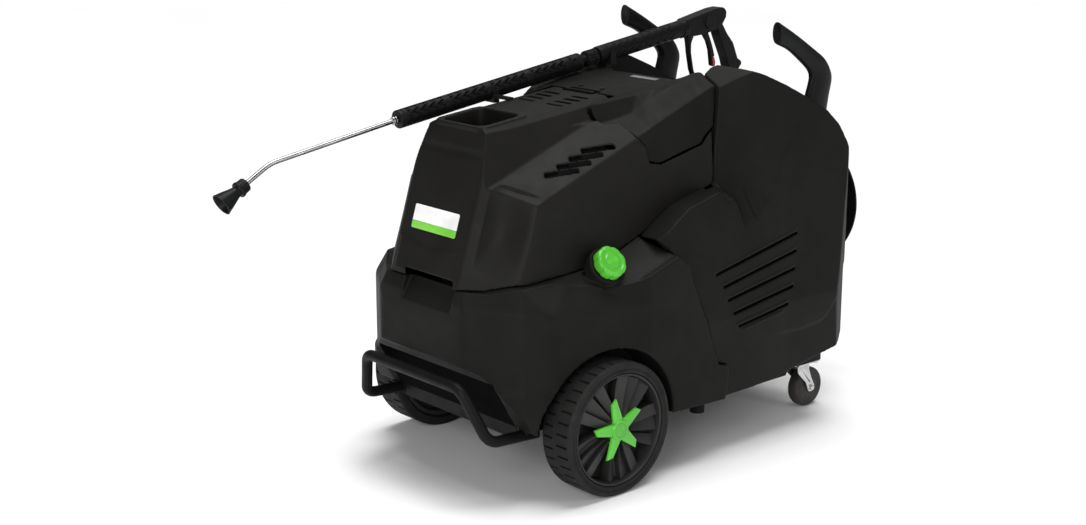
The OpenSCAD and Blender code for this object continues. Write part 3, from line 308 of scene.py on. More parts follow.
class Parts:
    """Vertices and faces of one piece, gathered from several forms."""

    def __init__(self, place=None):
        self.verts, self.faces = [], []
        self.place = place or Matrix.Identity(4)

    def add(self, verts, faces, place=None):
        base = len(self.verts)
        m = self.place @ place if place else self.place
        self.verts += [m @ Vector(v) for v in verts]
        self.faces += [tuple(base + i for i in f) for f in faces]

    def rings(self, rings, closed=False, caps=(True, True), place=None):
        """A skin through rings of points, each with the same number of points."""
        m, n = len(rings[0]), len(rings)
        verts = [v for r in rings for v in r]
        faces = [(i * m + k, i * m + (k + 1) % m, (i + 1) % n * m + (k + 1) % m, (i + 1) % n * m + k)
                 for i in range(n if closed else n - 1) for k in range(m)]
        if not closed and caps[0]:
            faces.append(tuple(reversed(range(m))))
        if not closed and caps[1]:
            faces.append(tuple((n - 1) * m + k for k in range(m)))
        self.add(verts, faces, place)

    def lathe(self, profile, sides=64, place=None, closed=False, wave=None):
        """profile of (radius, z) turned about z; wave(angle, radius, z) changes the radius."""
        rings = []
        for r, z in profile:
            radii = [(a, r + (wave(a, r, z) if wave else 0)) for a in turns(sides)]
            rings.append([(q * math.cos(a), q * math.sin(a), z) for a, q in radii])
        self.rings(rings, closed, place=place)

    def slab(self, outline, z0, z1, bevel, place=None):
        """Outline extruded from z0 to z1, both rims rounded inward by bevel."""
        steps = 2
        rings = []
        for z, sign in ((z0, -1), (z1, 1)):
            level = []
            for i in range(steps + 1):
                t = math.pi / 2 * i / steps
                inward = bevel * (1 - math.sin(t))
                level.append((inward, z - sign * bevel * (1 - math.cos(t))))
            level = level if sign < 0 else level[::-1]
            rings += [[(*p, h) for p in inset(outline, d)] for d, h in level]
        self.rings(rings, place=place)

    def box(self, lo, hi, bevel):
        x0, y0, z0 = lo
        x1, y1, z1 = hi
        self.slab([(x0, y0), (x1, y0), (x1, y1), (x0, y1)], z0, z1, bevel)

    def tube(self, path, radius, up=(1, 0, 0)):
        """Round tube along 3-D points; up keeps its section level."""
        self.rings(tube_rings(path, radius, up))

    def mesh(self, name, angle=35):
        """The gathered forms as one mesh in the row frame."""
        return mesh_from(name, [v * MM + Vector((0, SHIFT_Y, 0)) for v in self.verts], self.faces, angle)


def inset(outline, d):
    """The counter-clockwise outline with each edge moved inward by d."""
    if not d:
        return [tuple(p) for p in outline]
    n = len(outline)
    out = []
    for i in range(n):
        p = Vector(outline[i])
        a = (p - Vector(outline[i - 1])).normalized()
        b = (Vector(outline[(i + 1) % n]) - p).normalized()
        na, nb = Vector((-a.y, a.x)), Vector((-b.y, b.x))
        out.append(tuple(p + (na + nb) * (d / max(0.3, 1 + na.dot(nb)))))
    return out


def tube_rings(path, radius, up):
    """Rings square to the path through its points."""
    sides = 24
    path = [Vector(p) for p in path]
    rings = []
    for i, p in enumerate(path):
        t = (path[min(i + 1, len(path) - 1)] - path[max(i - 1, 0)]).normalized()
        s = t.cross(Vector(up)).normalized()
        u = s.cross(t)
        rings.append([p + s * radius * math.cos(a) + u * radius * math.sin(a) for a in turns(sides)])
    return rings


def fillet(a, b, c, r, n):
    """Arc of n steps in place of corner b between a and c, in two or three dimensions."""
    a, b, c = Vector(a), Vector(b), Vector(c)
    u, v = (a - b).normalized(), (c - b).normalized()
    half = math.acos(max(-1, min(1, u.dot(v)))) / 2
    mid = b + (u + v).normalized() * (r / math.sin(half))
    s, e = b + u * (r / math.tan(half)) - mid, b + v * (r / math.tan(half)) - mid
    turn = math.acos(max(-1, min(1, s.dot(e) / (r * r))))
    return [mid + (s * math.sin(turn * (n - i) / n) + e * math.sin(turn * i / n)) / math.sin(turn)
            for i in range(n + 1)]


def rounded(corners, n=5):
    """Outline from (x, y, radius) corners."""
    out = []
    for i, (x, y, r) in enumerate(corners):
        before, after = corners[i - 1], corners[(i + 1) % len(corners)]
        out += [tuple(p) for p in fillet(before[:2], (x, y), after[:2], r, n)] if r else [(x, y)]
    return out


def route(points, r, n=8):
    """3-D corners joined by bends of one radius."""
    out = [Vector(points[0])]
    for i in range(1, len(points) - 1):
        out += fillet(points[i - 1], points[i], points[i + 1], r, n)
    return out + [Vector(points[-1])]


def spline(rows, steps):
    """Catmull-Rom interpolation of equally long rows of numbers."""
    rows = np.array(rows, float)
    ext = np.vstack([2 * rows[0] - rows[1], rows, 2 * rows[-1] - rows[-2]])
    out = []
    for i in range(1, len(ext) - 2):
        p0, p1, p2, p3 = ext[i - 1:i + 3]
        for k in range(steps):
            t = k / steps
            out.append(0.5 * (2 * p1 + (p2 - p0) * t + (2 * p0 - 5 * p1 + 4 * p2 - p3) * t ** 2
                              + (3 * p1 - p0 - 3 * p2 + p3) * t ** 3))
    return out + [rows[-1]]


def turned(angle, axis):
    return Matrix.Rotation(math.radians(angle), 4, axis)


def moved(x, y, z):
    return Matrix.Translation((x, y, z))


def clean_mesh(node):
    """The CAD solid's own surface, welded and with flat areas joined."""
    bm = bmesh.new()
    bm.from_mesh(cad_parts[node].data)
    bmesh.ops.remove_doubles(bm, verts=bm.verts, dist=2e-5)
    bmesh.ops.dissolve_limit(bm, angle_limit=math.radians(0.6), verts=bm.verts, edges=bm.edges)
    mesh = bpy.data.meshes.new("clean")
    bm.to_mesh(mesh)
    bm.free()
    if "custom_normal" in mesh.attributes:
        mesh.attributes.remove(mesh.attributes["custom_normal"])
    return mesh


def eased(ob, passes, group=""):
    """Adds smoothing, of a vertex group only if one is named."""
    ease = ob.modifiers.new("ease", "SMOOTH")
    ease.factor = 0.5
    ease.iterations = passes
    ease.vertex_group = group


def evaluated(ob):
    """Mesh of ob with its modifiers applied; ob is removed."""
    bpy.context.view_layer.update()
    graph = bpy.context.evaluated_depsgraph_get()
    mesh = bpy.data.meshes.new_from_object(ob.evaluated_get(graph))
    bpy.data.objects.remove(ob)
    return mesh


def places(mesh):
    """x, y and z of a mesh's points in millimetres of the working frame."""
    co = np.zeros(len(mesh.vertices) * 3)
    mesh.vertices.foreach_get("co", co)
    co = co.reshape(-1, 3) / MM
    co[:, 1] -= SHIFT_Y / MM
    return co


CAD_SHARP = 38                      # edges of the CAD surface above this angle stay sharp
WIDE_PASSES = 60                    # smoothing where one facet of a cover runs into the next


def soft_skin(node, voxel, passes, keep, shape=None, soften=None):
    """The CAD cover with all its edges softened, as a moulded part has them. shape moves its
    points; soften gives each point the weight of a further, wide smoothing."""
    ob = linked("work", clean_mesh(node))
    remesh = ob.modifiers.new("voxels", "REMESH")
    remesh.mode = "VOXEL"
    remesh.voxel_size = voxel * MM
    eased(ob, passes)
    mesh = evaluated(ob)
    if soften:
        ob = linked("work", mesh)
        weights = soften(*places(mesh).T)
        group = ob.vertex_groups.new(name="soft")
        for level in (0.25, 0.5, 0.75, 1.0):
            chosen = np.nonzero(np.abs(weights - level) <= 0.125)[0]
            group.add([int(v) for v in chosen], level, "REPLACE")
        eased(ob, WIDE_PASSES, "soft")
        mesh = evaluated(ob)
    if shape:
        co = places(mesh)
        shape(co)
        co[:, 1] += SHIFT_Y / MM
        mesh.vertices.foreach_set("co", (co * MM).ravel())
        mesh.update()
    ob = linked("work", mesh)
    ob.modifiers.new("fewer", "DECIMATE").ratio = keep
    mesh = evaluated(ob)
    mesh.shade_smooth()
    return mesh


def crisp(name, node, material, body, width=1.0, above=None):
    """A CAD node's own form with its edges broken by a small rounding; above is a height in
    metres over which its faces take the second material."""
    mesh = smooth(clean_mesh(node), CAD_SHARP)
    ob = add_object(name, mesh, material, body, [node])
    if above:
        for face in mesh.polygons:
            face.material_index = int(face.center.z > above)
    bevel = ob.modifiers.new("edges", "BEVEL")
    bevel.width = width * MM
    bevel.segments = 2
    bevel.limit_method = "ANGLE"
    bevel.angle_limit = math.radians(30)
    bevel.harden_normals = True


# ---------------------------------------------------------------- covers


COVER_VOXEL, COVER_KEEP = 2.4, 0.22    # remeshing size and the share of faces kept after it


def cover(name, node, material, body, passes=5, shape=None, soften=None, dark=None):
    """A moulded cover; dark tells whether the point at x, y, z takes the second material, which is a painted shade."""
    mesh = soft_skin(node, COVER_VOXEL, passes, COVER_KEEP, shape, soften)
    add_object(name, mesh, material, body, [node])
    if dark:
        for face in mesh.polygons:
            c = face.center / MM
            face.material_index = int(dark(c.x, c.y - SHIFT_Y / MM, c.z))


def step(x, low, high):
    """Smooth rise from 0 at low to 1 at high."""
    t = np.clip((x - low) / (high - low), 0, 1)
    return t * t * (3 - 2 * t)


def bell(x, low, high):
    """Smooth bump between low and high."""
    return np.sin(np.pi * np.clip((x - low) / (high - low), 0, 1)) ** 2


NOSE_Y, NOSE_Z, NOSE_LEAN = -513, 465, 17.2    # foot of the nose panel and its lean in degrees
FACET_IN, FACET_OUT = 115, 222                 # edges of the corner facets, from the middle
FACET_NORMAL, FACET_SLOPE = (0.597, 0.802), 0.745    # outward and forward parts; run back per run outward
FLUTE = 19                                     # depth of the moulded flute in a corner facet
EDGE_Y, EDGE_Z, EDGE_SLOPE, EDGE_COS = -312, 665, 0.642, 0.8415    # the sloping edge over the facets


def hood_form(co):
    """Moulded flutes in the corner facets and a ledge across the nose panel."""
    x, y, z = co.T
    side = np.sign(x)
    x = np.abs(x)
    lean = math.radians(NOSE_LEAN)
    # square to the leaning nose panel and along it
    deep = (y - NOSE_Y) * math.cos(lean) - (z - NOSE_Z) * math.sin(lean)
    up = (y - NOSE_Y) * math.sin(lean) + (z - NOSE_Z) * math.cos(lean)
    edge = EDGE_COS * (z - EDGE_Z - EDGE_SLOPE * (y - EDGE_Y))
    across = (x - FACET_IN) / (FACET_OUT - FACET_IN)
    near = 1 - step(np.abs(deep - FACET_SLOPE * (x - FACET_IN)), 14, 26)
    # the flute fades out towards the crease under the sloping edge
    crease = 52 * (FACET_OUT - x) / 95
    flute = np.sin(np.pi * np.clip((across - 0.2) / 0.8, 0, 1) ** 0.68) ** 1.2
    height = step(up, 20, 140) * (1 - step(edge - crease, -35, 60))
    depth = FLUTE * flute * height * near * (up > 0)
    # ledge under the name plate
    nose = (1 - step(np.abs(deep), 8, 12)) * (1 - step(x, 96, 112)) * step(up, 2, 8)
    sag = 66 + 9 * (x / 76) ** 2
    ledge = 3.6 * nose * (1 - step(up, sag - 4, sag))
    # darker band below the rim of the exhaust opening
    band = 2.2 * nose * bell(up, 268, 300)
    forward = -FACET_NORMAL[1] * depth + ledge - band
    co[:, 0] -= side * (FACET_NORMAL[0] * depth)
    co[:, 1] -= forward * math.cos(lean)
    co[:, 2] += forward * math.sin(lean)


def hood_soft(x, y, z):
    """Soft upper end of the corner facets."""
    x = np.abs(x)
    return bell(x, 90, 235) * bell(y, -460, -300) * bell(z, 600, 760)


cover("hood_shell", "hood", hood_plastic, "hood", shape=hood_form, soften=hood_soft)


BASE_FRONT = -536
RECESS_TOP = 266


def base_form(co):
    """Ledge across the front of the base, and flared lower corners beside the recess."""
    x, y, z = co.T
    front = (1 - step(y, BASE_FRONT, BASE_FRONT + 10)) * (1 - step(np.abs(x), 150, 185)) * step(z, 285, 300)
    line = 346 + 16 * (x / 170) ** 2
    co[:, 1] -= 3.0 * front * (1 - step(z, line - 5, line))
    flare = 6.0 * step(np.abs(x), 208, 222) * (1 - step(z, 246, 262)) * (1 - step(y, -420, -395))
    co[:, 0] += np.sign(x) * 0.55 * flare
    co[:, 1] -= 0.8 * flare


def in_recess(x, y, z):
    return abs(x) < 206 and BASE_FRONT < y < -400 and z < RECESS_TOP


def base_soft(x, y, z):
    """Facets of the shoulder and of the front that run into one another."""
    return np.clip(1.5 * bell(z, 330, 470), 0, 1) * (1 - step(y, 20, 60)) * step(np.abs(x), 120, 170)


def housing_form(co):
    """Recessed outline round the lower rear of the housing's sides."""
    x, y, z = co.T
    line = 262 - 6 * bell(y, 240, 460) + 118 * step(y, 420, 545) ** 1.3
    below = (1 - step(z, line - 7, line + 5)) * step(y, 225, 330) * (1 - step(z, 350, 420))
    co[:, 0] -= np.sign(x) * 3.0 * below * (np.abs(x) > 280)


def housing_soft(x, y, z):
    """Rear end of the ledge, which fades into the side, and the rounded rear corner."""
    ledge = bell(y, 120, 520) * bell(z, 540, 780) * step(np.abs(x), 222, 236) * step(y, 150, 172)
    corner = bell(y, 500, 640) * bell(z, 600, 860) * 0.8
    return np.clip(1.6 * ledge + corner, 0, 1)


# faces in the recess behind the bumper take the near-black second material: painted shade of the recess
cover("base_shell", "base_tank", [cover_plastic, painted_shade_black], "machine", passes=7, shape=base_form,
      soften=base_soft, dark=in_recess)
cover("housing_shell", "rear_housing", cover_plastic, "machine", shape=housing_form, soften=housing_soft)
cover("console_shell", "console", deck_plastic, "machine", passes=12)


def tree_of(node):
    """A CAD node's surface, to find points on it."""
    mesh = clean_mesh(node)
    tree = BVHTree.FromPolygons([v.co for v in mesh.vertices], [tuple(p.vertices) for p in mesh.polygons])
    bpy.data.meshes.remove(mesh)
    return tree


# front end (y, z), rise in degrees and length of the slots in the housing's sides
LOUVRES = [(69, 434, 10.9, 286), (91, 402, 10.1, 257), (102, 370, 8.8, 236), (118, 337, 7.9, 210),
           (137, 304, 7.8, 170)]


def louvre_ridges():
    """Rounded lips above the slots, and below the last one, with near-black plates behind them as painted shade inside
    the slots.
    """
    tree = tree_of("rear_housing")

    def skin(side, y, z):
        hit = tree.ray_cast(at(side * 600, y, z), Vector((-side, 0, 0)))[0]
        return abs(hit.x) / MM if hit and abs(hit.x) > 0.27 else None

    lips, shade_plates = Parts(), Parts()
    rows = [(*row, 8.5) for row in LOUVRES] + [(*LOUVRES[-1], -11.5)]
    for side in (-1, 1):
        for y0, z0, angle, length, lift in rows:
            a = math.radians(angle)
            run, rise = (math.cos(a), math.sin(a)), (-math.sin(a), math.cos(a))
            above = lift > 0
            low, high = (-10, length + 7) if above else (8, length - 12)
            sound = 8 if above else -6          # the skin is sounded clear of the slot
            rings, last = [], 300
            for t in np.linspace(low, high, 26):
                y, z = y0 + run[0] * t + rise[0] * lift, z0 + run[1] * t + rise[1] * lift
                last = skin(side, y + rise[0] * sound, z + rise[1] * sound) or last
                fade = min(1, (t - low) / 14, (high - t) / 14)
                tall = -0.6 + 3.2 * math.sin(math.pi / 2 * max(0, fade))
                section = ((-5.5, -2.4), (-5, min(tall, 0.4)), (-2.6, tall * 0.85), (0, tall), (3, tall * 0.6),
                           (6, -0.4), (6.5, -2.4))
                rings.append([(side * (last + out), y + rise[0] * d, z + rise[1] * d) for d, out in section])
            lips.rings(rings)
            # near-black plate inside the slot: painted shade
            if above:
                rings = []
                for t in np.linspace(-8, length + 8, 14):
                    y, z = y0 + run[0] * t, z0 + run[1] * t
                    deep = (skin(side, y + rise[0] * sound, z + rise[1] * sound) or last) - 8.5
                    rings.append([(side * (deep + o), y + rise[0] * d, z + rise[1] * d)
                                  for d, o in ((-9, 0), (9, 0), (9, 1), (-9, 1))])
                shade_plates.rings(rings)
    add_object("louvre_lips", lips.mesh("louvre_lips", 60), cover_plastic, "machine")
    add_object("louvre_shade_plates", shade_plates.mesh("louvre_shade_plates"), painted_shade_black, "machine")


DOWN = Vector((0, 0, -1))
OVERHEAD = 1000


def deck_strip():
    """Plain silver strip on the crest of the deck."""
    tree = tree_of("console")
    part = Parts()
    rings = []
    for x in np.linspace(2, 86, 9):
        ring = []
        for y, up in ((97, 0.2), (112, 0.2), (112, 1.0), (97, 1.0)):
            hit = tree.ray_cast(at(x, y, OVERHEAD), DOWN)[0]
            ring.append((x, y, hit.z / MM + up))
        rings.append(ring)
    part.rings(rings)
    add_object("deck_strip", part.mesh("deck_strip"), strip_silver, "machine")


def vent_shade_plates():
    """Near-black plates under the vents in the hood's sloping edges: painted shade inside the vents."""
    tree = tree_of("hood")
    part = Parts()
    outline = [(158, -322), (212, -296), (212, -140), (158, -168)]
    for side in (-1, 1):
        spots = [at(side * x, y, OVERHEAD) for x, y in ((150, -330), (150, -250), (205, -230))]
        hits = [tree.ray_cast(spot, DOWN)[0] for spot in spots]
        p, q, r = [Vector((v.x / MM, (v.y - SHIFT_Y) / MM, v.z / MM)) for v in hits]
        n = (q - p).cross(r - p).normalized()
        n = n if n.z > 0 else -n

        def under(x, y, d):
            return (side * x, y, p.z - (n.x * (side * x - p.x) + n.y * (y - p.y)) / n.z - d / n.z)

        part.rings([[under(x, y, d) for x, y in outline] for d in (10, 8.8)])
    add_object("vent_shade_plates", part.mesh("vent_shade_plates"), painted_shade_black, "hood")


louvre_ridges()
deck_strip()
vent_shade_plates()


def plate():
    """Bare name plate: white, with a lime band along its lower edge."""
    half, height, band, up = 76.5, 53, 17, 101
    face = moved(0, NOSE_Y, NOSE_Z) @ turned(-NOSE_LEAN, "X") @ moved(0, 0, up) @ turned(90, "X")
    white, lime = Parts(face), Parts(face)
    white.slab(rounded([(-half, band, 0.6), (half, band, 0.6), (half, height, 4), (-half, height, 4)]), 0.2, 2.1, 0.5)
    lime.slab(rounded([(-half, 0, 4), (half, 0, 4), (half, band - 0.2, 0.6), (-half, band - 0.2, 0.6)]), 0.2, 2.1, 0.5)
    add_object("plate_upper", white.mesh("plate_upper"), plate_white, "hood", ["name_plate"])
    add_object("plate_lower", lime.mesh("plate_lower"), plate_lime, "hood")


plate()

# ---------------------------------------------------------------- front wheels

TIP = 0.01                          # radius of a lathe's profile where it meets its axis
WHEEL_X, AXLE_Y = 350, -250
WHEEL_R, WHEEL_W, RIM_R = 150, 90, 126


def wheel_place(side):
    """z = 0 is the wheel's outer face and z points outward."""
    outward = turned(90, "Y") if side > 0 else turned(-90, "Y") @ turned(180, "Z")
    return moved(side * WHEEL_X, AXLE_Y, WHEEL_R) @ outward


def tyre(side):
    """Low tyre with a beaded side wall and two rows of sipes across its flat tread."""
    pitches, depth = 37, 6.0
    # places within one pitch; a sipe's floor lies between the second and the third
    steps = (0.0, 0.015, 0.18, 0.195, 0.45, 0.72)
    # radius, z, row of sipes: 0 none, 1 outer, 2 inner
    profile = [(RIM_R + r, z, 0) for r, z in (
        (0.2, -6), (1.6, -1.6), (4, -0.3), (7, -0.8), (8.4, -2.4), (11.5, -2.6), (13, -0.8), (15, 0), (18, -0.4),
        (21, -2.2), (23, -4.6))]
    profile += [(WHEEL_R, -8, 0), (WHEEL_R, -9, 1), (WHEEL_R, -24, 1), (WHEEL_R, -41, 1), (WHEEL_R, -42, 0),
                (149.4, -47, 0), (149.4, -49, 0), (WHEEL_R, -54, 0), (WHEEL_R, -55, 2), (WHEEL_R, -82, 2),
                (WHEEL_R, -83, 0), (149, -86, 0), (147, -88.5, 0), (140, -WHEEL_W, 0), (RIM_R + 4, -WHEEL_W, 0),
                (RIM_R + 0.2, -WHEEL_W + 6, 0)]
    part = Parts(wheel_place(side))
    rings = []
    for i in range(pitches):
        for k, step_at in enumerate(steps):
            ring = []
            for r, z, row in profile:
                cut = depth if row and k in (1, 2) else 0
                hook = 0.02 * ((z + 25) / 16) ** 2 if row == 1 else 0.0
                half = 0.5 if z < -46 else 0.0
                a = 2 * math.pi * (i + step_at + half) / pitches + (hook if cut else 0)
                ring.append(((r - cut) * math.cos(a), (r - cut) * math.sin(a), z))
            rings.append(ring)
    part.rings(rings, closed=True)
    return part.mesh("tyre", 40)


def rim(side):
    """Rim whose disc is a fan of twisted blades with five dark windows between them."""
    part = Parts(wheel_place(side))
    hub, edge, back = 30, RIM_R - 8, -44
    part.lathe([(RIM_R - 0.3, -7), (RIM_R - 1.4, -3.4), (RIM_R - 3.4, -3), (RIM_R - 5.4, -4.6), (RIM_R - 7, -9),
                (edge, -24), (RIM_R - 10, -WHEEL_W + 10), (RIM_R - 2, -WHEEL_W + 6), (RIM_R - 0.3, -WHEEL_W + 8)],
               96, closed=True)
    part.lathe([(10.1, -9), (24, -9), (29, -11), (31, -15), (33, -36), (hub, -WHEEL_W + 5), (10.1, -WHEEL_W + 5)],
               64, closed=True)
    # facets of one fifth: angle in degrees at the outer end, angle at the hub, height
    facets = [(0, 10, -40), (25, 14, -40), (25, 14, -8), (37, 30, -19), (37, 30, -27), (43, 38, -23), (43, 38, -9),
              (60, 58, -21), (60, 58, -10), (72, 82, -16), (72, 82, -40)]
    radii = [hub, 40, 54, 70, 86, 102, edge]
    rings = []
    for i in range(5):
        for outer, inner, z in facets:
            row = []
            for r in radii:
                t = (r - hub) / (edge - hub)
                a = math.radians(72 * i + 34 + inner + (outer - inner) * t ** 0.8)
                h = z if z < -35 else z - 2.5 * math.sin(math.pi * t) + 1.5 * (1 - t)
                row.append((r * math.cos(a), r * math.sin(a), h if t > 0 else max(h, -24)))
            rings.append(row)
    m, n = len(radii), len(rings)
    faces = [(i * m + k, (i + 1) % n * m + k, (i + 1) % n * m + k + 1, i * m + k + 1)
             for i in range(n) for k in range(m - 1)]
    part.add([v for row in rings for v in row], faces)
    part.lathe([(hub, back), (edge, back), (edge, back - 2), (hub, back - 2)], 64, closed=True)
    return part.mesh("rim", 24)


def star(side):
    """Green faceted star over the hub."""
    part = Parts(wheel_place(side) @ moved(0, 0, -9.7))
    for i in range(5):
        place = turned(72 * i + 50, "Z")
        low = [(6, -15, 0), (24, -14.5, 0), (72, -8.5, 0), (63, 7, 0), (22, 13, 0), (6, 14, 0)]
        mid = [(6, -15, 4.5), (24, -14.0, 5), (71, -8, 4.2), (62.5, 6.4, 4.2), (22, 12.5, 5), (6, 14, 4.5)]
        ridge = [(8, -2, 9.6), (26, -1, 9.2), (60, -1.6, 6.2), (56, 0.4, 6.4), (24, 1.2, 9.2), (8, 2, 9.6)]
        part.rings([low, mid, ridge], place=place)
    part.lathe([(11, 0), (22.5, 0), (23.5, 7.5), (22, 9.8), (17.5, 10.6), (16.5, 9.6), (15, 9.6), (13.8, 10.4),
                (4, 11), (TIP, 11)], 48)
    return part.mesh("star", 22)


for side, name in ((-1, "left"), (1, "right")):
    body = "wheel_" + name
    add_object("tread_" + name, tyre(side), tyre_rubber, body, ["tyre_" + name])
    add_object("wheel_rim_" + name, rim(side), rim_plastic, body, ["rim_" + name])
    add_object("wheel_star_" + name, star(side), lime_plastic, body, ["star_" + name])


# ---------------------------------------------------------------- casters


CASTER_X, CASTER_Y = 213, 482       # swivel axis
CASTER_R, TRAIL = 50, 34


def caster_wheel(side):
    """Wheel with a grooved tread, a sunk web and a hub."""
    part = Parts(moved(side * CASTER_X, CASTER_Y + TRAIL, CASTER_R) @ turned(90, "Y"))
    w = 16
    profile = [(4.1, -w - 2), (12, -w - 2), (14, -w + 0.5), (31, -w + 2), (33, -w + 0.6), (36, -w + 0.4),
               (37, -w + 1.6), (39.5, -w + 1.5), (40.5, -w + 0.3), (44, -w + 0.8), (47.5, -w + 3),
               (49.4, -w + 6), (50, -5),
               (48.8, -4.2), (48.8, -2.8), (50, -2), (50, 2), (48.8, 2.8), (48.8, 4.2), (50, 5)]
    profile += [(r, -z) for r, z in reversed(profile[:12])]
    part.lathe(profile, 72, closed=True)
    return part.mesh("caster_tread", 40)


def bolt_head(a, r, z):
    """Makes a lathe's round of radius 6.2 between z 1.5 and 4.7 six-sided."""
    across = 5.4 / math.cos((a + math.pi / 6) % (math.pi / 3) - math.pi / 6)
    return across - 6.2 if 1.5 < z < 4.7 and r > 5 else 0


def caster_fork(side):
    """Pressed fork: crown plate, two tapering legs with a rolled edge, raceway and axle bolt."""
    part = Parts(moved(side * CASTER_X, CASTER_Y, 0))
    part.lathe([(6.1, 112), (24, 112), (25.5, 113.5), (25.5, 116.5), (23.5, 118), (6.1, 118)], 48, closed=True)
    leg = rounded([(-20, 118, 3), (-17, 96, 20), (14, 66, 20), (24, 42, 10), (36, 38.5, 10), (45, 46, 10),
                   (45, 56, 12), (34, 76, 30), (24, 100, 10), (24, 118, 3)], 4)
    rib = rounded([(-12, 112, 2), (-9, 98, 10), (17, 70, 14), (26, 60, 5), (30, 66, 5), (20, 82, 14), (15, 112, 2)], 3)
    flip = turned(90, "Y") @ turned(90, "Z")
    for s in (-1, 1):
        x = s * 20.5
        part.slab(leg, -1.4, 1.4, 0.6, moved(x, 0, 0) @ flip)
        part.slab(rib, -0.6, 0.6, 0.5, moved(x + s * 1.2, 0, 0) @ flip)
        part.lathe([(TIP, 0), (8.5, 0), (8.5, 1.2), (6.2, 1.6), (6.2, 4.6), (5.4, 5.4), (TIP, 5.4)], 36,
                   moved(s * 22, TRAIL, CASTER_R) @ turned(90 * s, "Y"), wave=bolt_head)
    part.box((-22, -20, 114), (22, 24, 117.6), 1.2)
    part.lathe([(3.9, -22), (3.9, 22)], 24, moved(0, TRAIL, CASTER_R) @ turned(90, "Y"))
    return part.mesh("fork", 30)


def caster_top():
    """Top plates of both casters, with pressed rims and swivel pins."""
    part = Parts()
    for side in (-1, 1):
        place = moved(side * CASTER_X, CASTER_Y, 0)
        plan = rounded([(-49.5, -41.5, 6), (48.5, -41.5, 6), (48.5, 34.5, 6), (-49.5, 34.5, 6)])
        part.slab(plan, 126.2, 129.6, 1, place)
        part.lathe([(TIP, 107), (4.5, 107), (5.8, 108.2), (5.9, 118.4), (22, 118.6), (22, 121), (18, 126.4),
                    (TIP, 126.4)], 48, place)
    return part.mesh("caster_top", 32)


for side, name in ((-1, "left"), (1, "right")):
    add_object("caster_tread_" + name, caster_wheel(side), caster_rubber, "caster_wheel_" + name,
               ["caster_wheel_" + name])
    add_object("caster_fork_" + name, caster_fork(side), zinc, "fork_" + name, ["fork_" + name])
add_object("caster_top_plates", caster_top(), zinc, "machine", ["caster_plates"])


# ---------------------------------------------------------------- tubes and handles


def bumper():
    """Tube bent forward and up in front of the recess."""
    part = Parts()
    path = route([(-221, -380, 141), (-221, -513, 148), (-168, -546, 262), (168, -546, 262), (221, -513, 148),
                  (221, -380, 141)], 34, 10)
    part.tube(path, 12.4, up=Vector((0, 0.35, 1)).normalized())
    return part.mesh("bumper", 45)


add_object("bumper_tube", bumper(), frame_paint, "machine", ["bumper"])

HORN_X, HORN_HALF = 253, 14.6
# y, z of the handle's upper and lower line, from its tip to its foot
HORN_ROWS = [(323, 976.6, 323, 925.6), (384, 944, 368, 906), (448, 906, 422, 868), (488, 880, 440, 851),
             (510, 853, 445, 839), (518, 828, 443, 826), (510, 790, 436, 805), (500, 735, 424, 770)]


def horn(side):
    """Curved handle of oval section, with a rolled rim round its flat end."""
    part = Parts()
    sides = 32
    rings = []
    for ya, za, yb, zb in spline(HORN_ROWS, 6):
        ring = []
        for a in turns(sides):
            f = (1 + math.sin(a)) / 2
            c = math.cos(a)
            x = side * HORN_X + side * HORN_HALF * math.copysign(abs(c) ** 0.75, c)
            ring.append((x, yb + (ya - yb) * f, zb + (za - zb) * f))
        rings.append(ring)
    centre = sum((Vector(p) for p in rings[0]), Vector()) / sides

    def shrunk(k, dy):
        return [tuple(centre + (Vector(p) - centre) * k + Vector((0, dy, 0))) for p in rings[0]]

    rings = [shrunk(0.78, 1.2), shrunk(0.82, 0.2), shrunk(0.95, 0.2), shrunk(0.99, 0.9)] + rings[1:]
    part.rings(rings)
    return part.mesh("horn", 50)


for side, name in ((-1, "left"), (1, "right")):
    add_object("handle_" + name, horn(side), black_plastic, "machine", ["horn_" + name])

# ---------------------------------------------------------------- lance and gun

LANCE_X, LANCE_Y, LANCE_Z, LANCE_SLOPE = -150, -32, 851, 8.5
LANCE = moved(LANCE_X, LANCE_Y, LANCE_Z) @ turned(LANCE_SLOPE, "X")     # local y runs along the stored lance
ALONG = turned(-90, "X")            # turns a lathe's z to local y
PIPE_R, SLEEVE_R, GUN_SLEEVE_R = 5.5, 20.8, 21.6
NOZZLE_TILT = 30.4
NOZZLE_AT = (LANCE_X, -867.8, 686.6)


